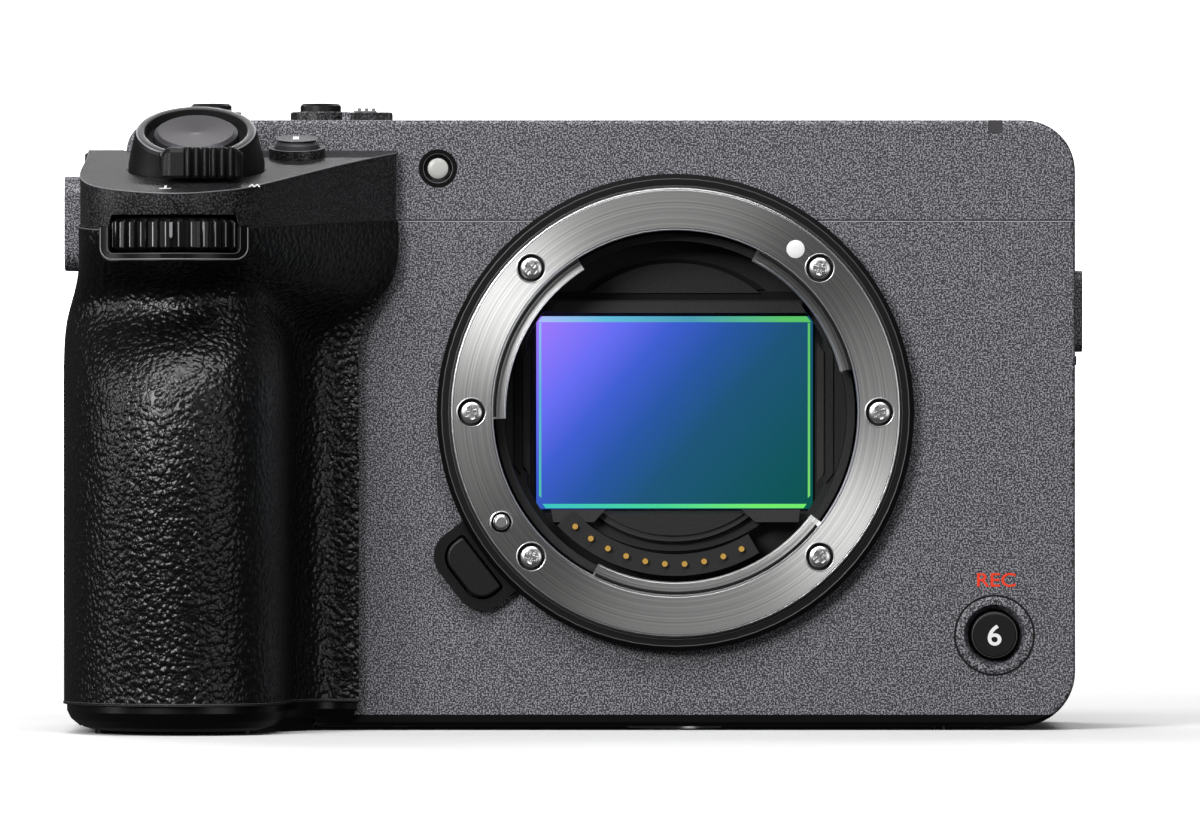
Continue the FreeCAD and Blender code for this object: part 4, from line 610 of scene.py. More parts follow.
def hoop(radius: float, tube: float, place: Matrix, flat: float = 1.0) -> bpy.types.Mesh:
    """A round bead about Z.

    Args:
        radius: From the axis to the middle of the bead.
        tube: Half the bead's width.
        place: Turn and place in the part's frame, in millimetres.
        flat: The bead's height as a share of its width.

    Returns:
        The mesh.
    """
    turns = [math.tau * i / 10 for i in range(10)]
    return turned(tuple((radius + tube * math.cos(a), tube * flat * math.sin(a)) for a in turns), place,
                  looped=True)


def plate(outline: Outline, front: float, thick: float) -> bpy.types.Mesh:
    """A flat plate that faces forward, its front edge a little broken.

    Args:
        outline: Its corners in X and Z, in millimetres.
        front: Y of its front face.
        thick: Its thickness.

    Returns:
        The mesh.
    """
    lip = 0.06
    middle = Vector((sum(x for x, z in outline), sum(z for x, z in outline))) / len(outline)
    rings = []
    for y, inset in ((front + thick, 0.0), (front + lip, 0.0), (front, lip)):
        ring = []
        for x, z in outline:
            inward = (middle - Vector((x, z))).normalized() * inset
            ring.append((x + inward.x, y, z + inward.y))
        rings.append(ring)
    return wrapped(rings)


def arc(radius: float, first: float, last: float, steps: int) -> Outline:
    """Points in X and Z on a circle about the lens axis, angles in degrees."""
    turns = [math.radians(first + (last - first) * i / steps) for i in range(steps + 1)]
    return [(radius * math.cos(a), LENS_CENTRE.z / MM + radius * math.sin(a)) for a in turns]


def lettering(name: str, words: str, size: tuple[float, float], place: Matrix, finish: Finishes,
              body: str) -> bpy.types.Object:
    """Prints letters as thin raised ink.

    Args:
        name: Name of the piece.
        words: The letters.
        size: Width and height of the whole print, in millimetres.
        place: Where the print's middle goes, with Z out of the surface, in millimetres.
        finish: The ink.
        body: The rigid body that it rides on.

    Returns:
        The piece.
    """
    curve = bpy.data.curves.new(name + "_outline", "FONT")
    curve.body = words
    # A little bolder than the font, and just thick enough to be solid before it is fitted.
    curve.offset, curve.extrude = 0.012, 0.004
    draft = bpy.data.objects.new(name + "_outline", curve)
    bpy.context.scene.collection.objects.link(draft)
    shape = draft.evaluated_get(bpy.context.evaluated_depsgraph_get())
    mesh = bpy.data.meshes.new_from_object(shape)
    bpy.data.objects.remove(draft)
    low = Vector([min(v.co[i] for v in mesh.vertices) for i in range(3)])
    high = Vector([max(v.co[i] for v in mesh.vertices) for i in range(3)])
    span = high - low
    ink = 0.03
    fit = Matrix.Diagonal((size[0] / span.x, size[1] / span.y, ink / span.z, 1.0))
    mesh.transform(place @ fit @ Matrix.Translation(-(low + high) / 2))
    mesh.transform(Matrix.Scale(MM, 4))
    return link(name, mesh, finish, body)


def section(node: str, point: Vector, normal: Vector) -> list[Vector]:
    """The longest loop in which a plane cuts a node, so that a bead can follow it.

    Args:
        node: Name of the node.
        point: A point of the plane, in millimetres.
        normal: The plane's normal.

    Returns:
        The loop's points in order, in metres.
    """
    form = bmesh.new()
    form.from_mesh(frame["nodes"][node].data)
    bmesh.ops.remove_doubles(form, verts=form.verts, dist=WELD)
    sliced = bmesh.ops.bisect_plane(form, geom=form.verts[:] + form.edges[:] + form.faces[:],
                                    plane_co=point * MM, plane_no=normal, dist=1e-8,
                                    clear_outer=True, clear_inner=True)
    # A dictionary keeps the edges in the mesh's order, so each run walks them alike.
    left = dict.fromkeys(item for item in sliced["geom_cut"] if isinstance(item, bmesh.types.BMEdge))
    loops = []
    while left:
        edge = next(iter(left))
        del left[edge]
        loop = [edge.verts[0], edge.verts[1]]
        while True:
            onward = [e for e in loop[-1].link_edges if e in left]
            if not onward:
                break
            del left[onward[0]]
            loop.append(onward[0].other_vert(loop[-1]))
        loops.append([vert.co.copy() for vert in loop])
    form.free()
    return max(loops, key=lambda loop: sum((a - b).length for a, b in zip(loop, loop[1:])))


def bead(name: str, loop: list[Vector], radius: float, finish: Finishes, body: str,
         closed: bool = True) -> bpy.types.Object:
    """Runs a thin bead or a dark gap line along a loop.

    Args:
        name: Name of the piece.
        loop: The points that it follows, in metres.
        radius: Half its width, in millimetres.
        finish: Its finish.
        body: The rigid body that it rides on.
        closed: The last point joins the first.

    Returns:
        The piece.
    """
    curve = bpy.data.curves.new(name, "CURVE")
    curve.dimensions = "3D"
    curve.bevel_depth = radius * MM
    curve.bevel_resolution = 2
    line = curve.splines.new("POLY")
    line.points.add(len(loop) - 1)
    for spot, point in zip(line.points, loop):
        spot.co = (*point, 1.0)
    line.use_cyclic_u = closed
    return link(name, curve, finish, body)


def ribbed_wheel(radius: float, width: float, ribs: int, depth: float, place: Matrix) -> bpy.types.Mesh:
    """A dial with square ribs whose corners are broken, on Z, between 0 and its width.

    Args:
        radius: Radius over the ribs.
        width: Height of the rim.
        ribs: How many ribs.
        depth: Depth of the grooves.
        place: Turn and place in the part's frame, in millimetres.

    Returns:
        The mesh.
    """
    # Along one rib: place as a share of the pitch, and how far it is sunk as a share of the depth.
    lands = ((0.0, 1.0), (0.08, 1.0), (0.16, 0.15), (0.22, 0.0), (0.60, 0.0), (0.66, 0.15),
             (0.74, 1.0), (0.9, 1.0))
    # Up the rim: height, and how far the rounded edge stands back.
    levels = ((0.0, 0.9), (0.12, 0.45), (0.35, 0.12), (0.5, 0.0))
    heights = list(levels) + [(width - h, back) for h, back in levels[::-1]]
    hub = 1.0
    rings = [circle(hub, 0.0, ribs * len(lands))]
    for height, back in heights:
        ring = []
        for i in range(ribs):
            for along, sunk in lands:
                turn = math.tau * (i + along) / ribs
                reach = radius - back - depth * sunk * (1.0 if back < 0.5 else 0.3)
                ring.append((reach * math.cos(turn), reach * math.sin(turn), height))
        rings.append(ring)
    rings.append(circle(hub, width, ribs * len(lands)))
    return wrapped(rings, place)


def screw_head(radius: float, depth: float, place: Matrix) -> bpy.types.Mesh:
    """A low domed screw head with a cross recess, looking along Z, with a short shank below.

    Args:
        radius: Radius of the head.
        depth: Length below the dome.
        place: Turn and place in the part's frame, in millimetres.

    Returns:
        The mesh.
    """
    steps, circles, arm, half = 96, 20, 0.66 * radius, 0.13 * radius

    def slot(along: float, aside: float) -> float:
        """How deep one slot of the cross is.

        Args:
            along: Distance from the screw's axis along the slot.
            aside: Distance from the slot's middle line.

        Returns:
            The depth as a share of the full one.
        """
        ends = min(max((arm - abs(along)) / 0.12, 0.0), 1.0)
        sides = min(max((half + 0.1 * radius - abs(aside)) / (0.14 * radius), 0.0), 1.0)
        return ends * sides

    rings = []
    for i in range(circles):
        reach = radius * (0.02 + 0.98 * i / (circles - 1))
        dome = 0.14 * radius * (1.0 - (reach / radius) ** 4)
        ring = []
        for x, y, _ in circle(reach, 0.0, steps):
            ring.append((x, y, dome - 0.3 * radius * max(slot(x, y), slot(y, x))))
        rings.append(ring)
    for reach, height in ((radius, -0.3), (radius / 2, -0.35), (radius / 2, -depth)):
        rings.append(circle(reach, height, steps))
    return wrapped(rings, place)


@dataclass
class Case:
    """The painted shells and the small parts let into them, in millimetres."""

    seam_z: float = 65.0
    gap_half: float = 0.085
    edge_drop: float = 0.15
    edge_half: float = 0.07
    top: float = 77.8
    collar_radius: float = 3.85
    collar_bore: float = 2.8
    collar_height: float = 1.42
    collar_x: tuple[float, float] = (-59.7, -45.6)
    button_y: float = 2.0
    pad_end: float = -36.36
    pad_half: float = 3.44
    pad_height: float = 1.34
    window_x: float = -30.26
    window_z: float = 71.63
    screw_radius: float = 1.15
    bottom_z: float = 0.5
    bottom_screws: tuple[tuple[float, float], ...] = (
        (44.0, -10.0), (44.0, 24.0), (-35.0, -10.0), (-35.0, 24.0), (20.0, 24.0))
    side_x: float = 51.0
    side_screws: tuple[tuple[float, float], ...] = ((-8.0, 8.0), (-8.0, 60.5))

    def build(self) -> None:
        """Dresses the covers, the doors and the fixed parts, then adds what is fine."""
        dress(Finishes.CASE, "top_cover", "front_cover", "rear_cover", "port_door", "side_bosses")
        dress(Finishes.STEEL, "thread_inserts", "tripod_socket", "strap_lugs", "accessory_shoe")
        dress(Finishes.SMOOTH, "bottom_cover", "light_sensor")
        dress(Finishes.TALLY, "tally_window")
        dress(Finishes.SATIN, "jack_block", "card_slots", "battery_pack", "fan_housing", "fan_rotor")
        dress(Finishes.ALUMINIUM, "chassis", "heat_sink")
        dress(Finishes.BAFFLE, "sensor_stage")
        dress(Finishes.BOARD, "main_board")
        dress(Finishes.ANODISED, "stabiliser_frame")
        self.seams()
        self.collars()
        self.switch_pad()
        self.light_window()
        self.screws()

    def seams(self) -> None:
        """The dark gap between the covers, painted shade, with a painted highlight on the lower cover's edge
        under it.
        """
        loop = section("top_cover", Vector((0.0, 0.0, self.seam_z + 0.02)), UP)
        bead("cover_gap", loop, self.gap_half, Finishes.VOID, "camera_body")
        low = [point - UP * self.edge_drop * MM for point in loop]
        bead("cover_edge", low, self.edge_half, Finishes.SEAM_HIGHLIGHT, "camera_body")

    def collars(self) -> None:
        """Black grained sleeves on the two top collars."""
        bore, height, radius = self.collar_bore, self.collar_height, self.collar_radius + 0.04
        profile = ((bore, height), (radius - 0.25, height), (radius, height - 0.17), (radius, 0.0),
                   (bore, 0.0))
        for side, x in zip(("left", "right"), self.collar_x):
            place = Matrix.Translation((x, self.button_y, self.top))
            link(f"collar_sleeve_{side}", turned(profile, place, looped=True), Finishes.DECK,
                 "camera_body")

    def switch_pad(self) -> None:
        """A black grained sleeve on the pad that carries the power switch."""
        left, right = self.collar_x[1] + self.collar_radius + 0.05, self.pad_end
        broken = 0.15
        rings = []
        for height, inset in ((0.0, 0.0), (self.pad_height - 0.14, 0.0), (self.pad_height, broken)):
            near, far = self.button_y - self.pad_half + inset, self.button_y + self.pad_half - inset
            rings.append([(x, y, self.top + height)
                          for x, y in ((left, near), (right - inset, near), (right - inset, far),
                                       (left, far))])
        link("pad_sleeve", wrapped(rings), Finishes.DECK, "camera_body")

    def light_window(self) -> None:
        """The milky dome in the light sensor's cone, with a painted highlight on the lip round the cone."""
        at = facing(self.window_x, CASE_FRONT / MM, self.window_z)
        dome = ((0.2, -0.15), (0.7, -0.17), (1.15, -0.24), (1.3, -0.34), (1.3, -0.6))
        link("light_dome", turned(dome, at), Finishes.MILK, "camera_body")
        link("light_lip", hoop(1.93, 0.09, raised(at, 0.06), 0.4), Finishes.PALE_HIGHLIGHT, "camera_body")

    def screws(self) -> None:
        """Small cross-head screws that hold the bottom and the side covers."""
        down = Matrix.Rotation(math.radians(180.0), 4, "X")
        right = Matrix.Rotation(math.radians(90.0), 4, "Y")
        places = [Matrix.Translation((x, y, self.bottom_z)) @ down for x, y in self.bottom_screws]
        places += [Matrix.Translation((self.side_x, y, z)) @ right for y, z in self.side_screws]
        for i, place in enumerate(places):
            link(f"cover_screw_{i}", screw_head(self.screw_radius, 1.0, raised(place, 0.02)),
                 Finishes.BLACK_SCREW, "camera_body")


@dataclass
class Grip:
    """The moulded grip with its skin, base, deck and doors, in millimetres and degrees."""

    seam_z: float = 65.0
    seam_slope: float = 3.0
    foot_z: float = 3.7
    flank_x: float = -70.2
    rear_y: float = 26.0

    def build(self) -> None:
        """Dresses the grip and draws the lines where its pieces meet."""
        dress(Finishes.LEATHER, "grip_rubber", "card_door")
        dress(Finishes.SATIN, "grip_frame", "battery_door_latch")
        dress(Finishes.SMOOTH, "grip_base", "battery_door")
        dress(Finishes.DECK, "grip_deck")
        seam, slope = self.seam_z, self.seam_slope
        # The deck's crease and the skin's edge are painted highlights, the deck's and the foot's gaps are
        # painted shade in black baffle, and the foot's edge is a dim painted highlight.
        self.line("deck_crease", "grip_deck", DECK_Z, DECK_SLOPE, -0.05, 0.09, Finishes.PALE_HIGHLIGHT)
        self.line("deck_gap", "grip_deck", seam, slope, 0.06, 0.10, Finishes.BAFFLE)
        self.line("skin_edge", "grip_rubber", seam, slope, -0.12, 0.06, Finishes.PALE_HIGHLIGHT)
        self.line("foot_gap", "grip_rubber", self.foot_z, 0.0, 0.08, 0.12, Finishes.BAFFLE)
        self.line("foot_edge", "grip_rubber", self.foot_z, 0.0, 0.3, 0.06, Finishes.DIM_HIGHLIGHT)

    def line(self, name: str, node: str, height: float, slope: float, above: float, radius: float,
             finish: Finishes) -> None:
        """Draws one line round the outside of the grip.

        Args:
            name: Name of the piece.
            node: The node whose outline it follows.
            height: Height of the line's plane at the case front.
            slope: How much the plane falls towards the front, in degrees.
            above: Distance of the line above that plane.
            radius: Half the line's width.
            finish: Its finish.
        """
        fall = math.radians(slope)
        normal = Vector((0.0, -math.sin(fall), math.cos(fall)))
        point = Vector((0.0, CASE_FRONT / MM, height)) + normal * above
        loop = [spot for spot in section(node, point, normal) if spot.y < self.rear_y * MM]
        outer = [spot for spot in loop if spot.y < CASE_FRONT - 0.1 * MM or spot.x < self.flank_x * MM]
        start = max(range(len(outer)), key=lambda i: (outer[i] - outer[i - 1]).length)
        bead(name, outer[start:] + outer[:start], radius, finish, "camera_body",
             closed=False)


@dataclass
class Mount:
    """The steel bayonet ring, its trim ring, screws, lock pin and release key, in millimetres."""

    face: float = -18.0
    screw_circle: float = 25.96
    screw_angles: tuple[int, ...] = (0, 45, 135, 180, 225, 315)
    head_radius: float = 1.3
    head_sink: float = 0.22
    shank: float = 5.0
    seat_radius: float = 1.77
    seat_profile: Profile = ((1.36, -0.86), (1.36, -0.8), (1.74, -0.8), (1.76, -0.2), (1.768, -0.2),
                             (1.768, -0.86))
    pin_circle: float = 26.2
    pin_angle: float = 212.2
    pin_radius: float = 1.38
    ears: tuple[tuple[int, int], ...] = ((122, 182), (13, 63), (243, 322))
    dot_radius: float = 1.15
    dot_circle: float = 25.8
    dot_angle: float = 53.7

    def build(self) -> None:
        """Dresses the mount, then adds its screws, the alignment dot and the turned edges."""
        dress(Finishes.RING, "mount_ring")
        dress(Finishes.SCREW, "lens_lock_pin")
        dress(Finishes.TRIM, "mount_trim_ring")
        dress(Finishes.SATIN, "lens_release_button")
        self.screws()
        self.dot()
        self.ring_edges()
        self.ear_edges()

    def at(self, radius: float, angle: float) -> Matrix:
        """A place on the ring's face, with Z out of it."""
        turn = math.radians(angle)
        return facing(radius * math.cos(turn), self.face, LENS_CENTRE.z / MM + radius * math.sin(turn))

    def screws(self) -> None:
        """Cross-head screws in seats painted dark for the shade inside them, with bright rims, and the lock
        pin's rim.
        """
        heads = []
        for i, angle in enumerate(self.screw_angles):
            place = self.at(self.screw_circle, angle)
            # Each cross stands at an angle of its own, as after the screws are driven home.
            driven = raised(place, -self.head_sink) @ Matrix.Rotation(0.4 + i, 4, "Z")
            heads.append(link(f"mount_screw_{i}", screw_head(self.head_radius, self.shank, driven),
                              Finishes.SCREW, "camera_body"))
            # Each seat is lined in black baffle: painted shade in the seat.
            link(f"seat_floor_{i}", turned(self.seat_profile, place, looped=True), Finishes.BAFFLE,
                 "camera_body")
            link(f"seat_rim_{i}", hoop(self.seat_radius + 0.06, 0.08, place, 0.5), Finishes.SCREW,
                 "camera_body")
        for head in heads:
            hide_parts("mount_screws")
        rim = hoop(self.pin_radius, 0.08, self.at(self.pin_circle, self.pin_angle), 0.5)
        link("pin_rim", rim, Finishes.SCREW, "camera_body")

    def dot(self) -> None:
        """The white dot that a lens is lined up with."""
        profile = ((self.dot_radius, 0.0), (self.dot_radius, 0.02), (self.dot_radius - 0.06, 0.05),
                   (0.2, 0.05))
        link("alignment_dot", turned(profile, self.at(self.dot_circle, self.dot_angle)),
             Finishes.WHITE_INK, "camera_body")

    def ring_edges(self) -> None:
        """The edges of the two rings: a bright steel bead, painted shade in the gap beyond it, and painted
        highlights on the ring's inner edge and the trim's rounded edges.
        """
        for name, radius, half, sunk, finish in (
                ("ring_outer_edge", 28.42, 0.13, 0.16, Finishes.SCREW),
                ("ring_outer_gap", 28.68, 0.12, 0.5, Finishes.BAFFLE),
                ("ring_inner_edge", 23.32, 0.07, 0.04, Finishes.BRIGHT_EDGE),
                ("trim_inner_edge", 28.86, 0.07, 0.62, Finishes.DIM_HIGHLIGHT),
                ("trim_outer_edge", 29.75, 0.07, 0.62, Finishes.DIM_HIGHLIGHT)):
            place = facing(0.0, self.face + sunk, LENS_CENTRE.z / MM)
            link(name, hoop(radius, half, place, 0.6), finish, "camera_body")

    def ear_edges(self) -> None:
        """The dark gap behind each bayonet ear and the bright edge along it."""
        for i, (first, last) in enumerate(self.ears):
            for name, radius, half, finish in (("ear_gap", 22.98, 0.2, Finishes.VOID),
                                               ("ear_edge", 21.78, 0.08, Finishes.SCREW)):
                loop = [Vector((x, self.face + 0.05, z)) * MM
                        for x, z in arc(radius, first + 0.6, last - 0.6, 60)]
                bead(f"{name}_{i}", loop, half, finish, "camera_body", closed=False)


@dataclass
class Throat:
    """The black throat with the contacts and the image sensor, in millimetres."""

    floor: float = -7.4
    arch_chord: float = 55.8
    arch_peak: float = 59.7
    arch_half: float = 10.9
    block_front: float = -12.2
    block_depth: float = 4.8
    crescent_top: float = 27.6
    crescent_shift: float = -0.2

    def build(self) -> None:
        """Dresses the throat and the sensor, with the baffle's steps and the coated edges."""
        dress(Finishes.BAFFLE, "throat_baffle")
        dress(Finishes.LEDGE, "contact_block")
        dress(Finishes.GOLD, "contact_pins")
        dress(Finishes.SENSOR, "image_sensor")
        dress(Finishes.GLASS, "sensor_glass")
        self.upper_steps()
        self.side_walls()
        self.lower_blocks()
        self.crescents()
        self.coated_edges()

    def step(self, name: str, outline: Outline, front: float, thick: float, finish: Finishes) -> None:
        """Adds one moulded step of the baffle."""
        link(name, plate(outline, front, thick), finish, "camera_body")

    def upper_steps(self) -> None:
        """The arched ledge over the sensor and the bar below it, their faces painted light and their grooves
        painted shade.
        """
        rise = self.arch_peak - self.arch_chord
        radius = (self.arch_half ** 2 + rise ** 2) / (2 * rise)
        middle = self.arch_peak - radius
        half = math.degrees(math.asin(self.arch_half / radius))
        turns = [math.radians(90 - half + 2 * half * i / 40) for i in range(41)]
        arch = [(radius * math.cos(a), middle + radius * math.sin(a)) for a in turns]
        self.step("arch_ledge", arch, self.floor - 0.9, 0.9, Finishes.LEDGE)
        wide = [(x * 1.05, z + 0.45) for x, z in arch]
        self.step("arch_groove", wide, self.floor - 0.5, 0.5, Finishes.VOID)
        self.step("bar_groove", [(-19.5, 54.7), (19.5, 54.7), (18.2, 56.0), (-18.2, 56.0)],
                  self.floor - 0.55, 0.5, Finishes.VOID)
        self.step("upper_bar_face", [(-16.1, 53.25), (16.8, 53.25), (16.0, 54.65), (-15.2, 54.65)],
                  self.floor - 2.35, 0.3, Finishes.BAR)

    def side_walls(self) -> None:
        """The stepped walls to the left and right of the sensor, their steps painted light, and one step on
        the left painted shade.
        """
        width, chamfer = 0.85, 1.2
        for side, x, finish in ((-1, 18.6, Finishes.LEDGE), (1, 18.2, Finishes.WARM_LEDGE),
                                (1, 19.4, Finishes.LEDGE), (-1, 19.7, Finishes.VOID)):
            low, high = (32.5, 49.0) if side < 0 else (31.5, 49.5)
            outline = [(side * x, low), (side * (x + width), low + chamfer),
                       (side * (x + width), high - chamfer), (side * x, high)]
            self.step(f"wall_step_{side + 1}_{round(10 * x)}", outline, self.floor - 0.3, 0.25, finish)

    def lower_blocks(self) -> None:
        """The two blocks below the sensor, their faces painted light."""
        for name, outline in (
                ("lower_block_left_face", [(-15.9, 28.1), (-8.9, 28.1), (-10.3, 26.5), (-15.6, 26.5)]),
                ("lower_block_right_face", [(8.5, 28.1), (16.0, 28.1), (15.8, 26.5), (10.2, 26.5)])):
            self.step(name, outline, self.block_front, self.block_depth, Finishes.BAR)

    def crescents(self) -> None:
        """The nested crescents between the blocks, each one further forward, painted light and painted shade
        in turn.
        """
        for i, (half, low, front, finish) in enumerate((
                (13.4, 22.5, -9.6, Finishes.VOID), (12.9, 22.75, -10.0, Finishes.LEDGE),
                (10.6, 23.75, -10.6, Finishes.VOID), (10.2, 24.0, -11.0, Finishes.BAR),
                (9.0, 24.75, -11.4, Finishes.LEDGE))):
            deep = self.crescent_top - low
            radius = (half ** 2 + deep ** 2) / (2 * deep)
            sweep = math.asin(half / radius)
            turns = [-math.pi / 2 - sweep + 2 * sweep * k / 48 for k in range(49)]
            outline = [(radius * math.cos(a) + self.crescent_shift, low + radius + radius * math.sin(a))
                       for a in turns]
            self.step(f"crescent_{i}", outline, front, 0.9, finish)

    def coated_edges(self) -> None:
        """The bright coated borders of the sensor's window."""
        low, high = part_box("image_sensor")
        x0, z0, x1, z1 = low.x / MM, low.z / MM, high.x / MM, high.z / MM
        strips = (
            ("sensor_top_band", [(x0 + 0.8, z1), (x0 + 0.2, z1 - 0.75), (x1 - 0.2, z1 - 0.75),
                                 (x1 - 0.8, z1)], Finishes.TOP_FILM),
            ("sensor_low_band", [(x0 + 1.2, z0 + 0.1), (x0 + 0.8, z0 + 0.65), (x1 - 0.8, z0 + 0.65),
                                 (x1 - 1.2, z0 + 0.1)], Finishes.LOW_FILM),
            ("sensor_left_line", [(x0 + 0.35, z0 + 1.7), (x0 + 0.65, z0 + 1.4), (x0 + 0.65, z1 - 0.8),
                                  (x0 + 0.35, z1 - 0.9)], Finishes.LEFT_FILM),
            ("sensor_right_line", [(x1 - 0.65, z0 + 1.4), (x1 - 0.35, z0 + 1.7), (x1 - 0.35, z1 - 0.9),
                                   (x1 - 0.65, z1 - 0.8)], Finishes.RIGHT_FILM))
        for name, outline, finish in strips:
            link(name, plate(outline, -0.16, 0.12), finish, "stage")


@dataclass
class Controls:
    """The keys, dials and levers, in millimetres."""

    front_dial: Point = (-62.8, -39.9, 62.7)
    front_radius: float = 9.3
    front_ribs: int = 36
    rear_dial: Point = (-57.0, 22.4, 71.0)
    rear_radius: float = 8.5
    rear_ribs: int = 34
    rib_depth: float = 0.55
    rib_turn: float = 0.03
    lit_side: float = 0.43
    dial_width: float = 4.2
    nose_radius: float = 11.48
    nose_back: float = 1.6
    tab_left: float = -64.5
    tab_right: float = -54.4
    tab_front: float = -41.75
    tab_back: float = -38.6
    tab_top: float = 72.9
    first_rib: float = -61.7
    rib_pitch: float = 1.07
    deck_key: Point = (-48.1, -20.0, 72.983)
    record: Point = (40.68, -15.4, 12.13)

    def build(self) -> None:
        """Dresses every control, then adds ribs, rims and print."""
        dress(Finishes.SATIN, "zoom_lever", "custom_button", "top_record_button", "select_button",
              "menu_button", "function_button", "playback_button", "record_button")
        dress(Finishes.ANODISED, "control_wheel")
        dress(Finishes.CAP, "deck_button")
        dress(Finishes.SMOOTH, "dial_bezel")
        # The power switch is painted pale all over, a painted highlight for the light along its top.
        dress(Finishes.PALE_HIGHLIGHT, "power_switch")
        dress(Finishes.BUTTON, "shutter_button")
        dress(Finishes.CASE, "record_button_ring")
        dress(Finishes.RUBBER, "joystick")
        self.dials()
        self.rib_edges()
        self.bezel_rim()
        self.lever_tab()
        self.lever_rims()
        self.deck_key_rims()
        self.record_rims()
        self.print_marks()

    def dials(self) -> None:
        """The front and the rear dial with fine square ribs."""
        for name, centre, radius, ribs, body in (
                ("front_dial", self.front_dial, self.front_radius, self.front_ribs, "front_wheel"),
                ("rear_dial", self.rear_dial, self.rear_radius, self.rear_ribs, "rear_wheel")):
            low = Matrix.Translation((centre[0], centre[1], centre[2] - self.dial_width / 2))
            mesh = ribbed_wheel(radius, self.dial_width, ribs, self.rib_depth,
                                low @ Matrix.Rotation(self.rib_turn, 4, "Z"))
            piece = link(name + "_ribs", mesh, Finishes.DIAL, body)
            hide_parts(name)

    def rib_edges(self) -> None:
        """A thin bar on each rib of the front dial, a painted highlight, and the dial's pale tick.

        A bar stands near the side of the rib that the key light meets, at that share of the pitch.
        """
        x, y, z = self.front_dial
        foot, crest = self.front_radius - 0.3, self.front_radius + 0.04
        points = []
        for i in range(self.front_ribs):
            turn = Matrix.Rotation(math.tau * (i + self.lit_side) / self.front_ribs, 4, "Z")
            for height, inset in ((-1.62, 0.16), (-1.5, 0.0), (1.5, 0.0), (1.62, 0.16)):
                for out, aside in ((foot, -0.09), (crest - inset, -0.065), (crest - inset, 0.065),
                                   (foot, 0.09)):
                    points.append(tuple(turn @ Vector((out, aside, height))))
        faces = []
        # A bar is four levels of four points: its two ends are capped and its sides joined.
        for k in range(0, len(points), 16):
            faces += [(k, k + 1, k + 2, k + 3), (k + 12, k + 13, k + 14, k + 15)]
            faces += [(k + 4 * a + b, k + 4 * a + (b + 1) % 4, k + 4 * a + 4 + (b + 1) % 4, k + 4 * a + 4 + b)
                      for a in range(3) for b in range(4)]
        link("dial_rib_edges", solid(points, faces, Matrix.Translation((x, y, z))), Finishes.BRIGHT_EDGE,
             "front_wheel")
        tick = [(x - 0.45, z + 1.5), (x - 0.05, z + 1.5), (x - 0.05, z - 0.3), (x - 0.25, z - 0.55),
                (x - 0.45, z - 0.3)]
        link("dial_tick", plate(tick, y - self.front_radius - 0.03, 0.25), Finishes.BRIGHT_EDGE,
             "front_wheel")

    def bezel_rim(self) -> None:
        """Two rounded rims that follow the U of the front dial's bezel round the nose, a pale and a dim
        painted highlight.
        """
        x, y, z = self.front_dial
        for name, half, low, turn, radius, finish in (
                ("bezel_rim", 9.2, z - 3.1, 1.5, 0.1, Finishes.PALE_HIGHLIGHT),
                ("bezel_lip", 8.3, z - 2.4, 0.8, 0.08, Finishes.DIM_HIGHLIGHT)):
            bends = [i * math.pi / 10 for i in range(1, 5)]
            path = [(-half, z + 0.9), (-half, low + turn)]
            path += [(-half + turn - turn * math.cos(a), low + turn - turn * math.sin(a)) for a in bends]
            path += [((half - turn) * (i / 8 - 1), low) for i in range(17)]
            path += [(half - turn + turn * math.sin(a), low + turn - turn * math.cos(a)) for a in bends]
            path += [(half, low + turn), (half, z + 0.9)]
            loop = [Vector((x + across, y + self.nose_back
                            - math.sqrt(self.nose_radius ** 2 - across ** 2), up)) * MM
                    for across, up in path]
            bead(name, loop, radius, finish, "camera_body", closed=False)

    def lever_tab(self) -> None:
        """The finger tab of the zoom lever, with six round ribs and rounded ends."""
        ribs, steps, back = 6, 120, self.tab_back
        rings = []
        for i in range(steps + 1):
            x = self.tab_left + (self.tab_right - self.tab_left) * i / steps
            along = (x - self.first_rib) / self.rib_pitch
            inside = self.first_rib <= x <= self.first_rib + ribs * self.rib_pitch
            wave = abs(math.sin(math.pi * along)) if inside else 0.55
            ends = min((x - self.tab_left) / 1.2, (self.tab_right - x) / 1.2, 1.0)
            bulge = 1.0 - (1.0 - ends) ** 2
            out = self.tab_front - 0.62 * wave * bulge - 0.35 * bulge
            top = self.tab_top + 0.75 * bulge + 0.18 * wave * bulge
            rings.append([(x, back, 70.6), (x, out + 1.2, 70.05), (x, out + 0.25, 69.85),
                          (x, out, 70.15), (x, out + 0.05, top - 0.7), (x, out + 0.45, top - 0.15),
                          (x, out + 1.1, top), (x, back, 73.1)])
        link("lever_tab_ribs", wrapped(rings), Finishes.SATIN, "zoom_ring")

    def lever_rims(self) -> None:
        """The zoom lever's ring: a painted highlight on its rim, a dim painted highlight on its rounded
        crown, and painted shade in its well.
        """
        place = Matrix.Translation(LEVER_CENTRE) @ LEVER_TURN
        well = ((5.4, -1.22), (6.3, -1.22), (6.44, -0.12), (6.5, -0.12), (6.5, -1.28), (5.4, -1.28))
        for name, form, finish in (
                ("lever_rim_edge", hoop(7.42, 0.16, raised(place, -0.14), 0.6), Finishes.BRIGHT_EDGE),
                ("lever_crown", hoop(6.96, 0.42, raised(place, -0.03), 0.15), Finishes.DIM_HIGHLIGHT),
                ("lever_well", turned(well, place, looped=True), Finishes.VOID)):
            link(name, form, finish, "zoom_ring")

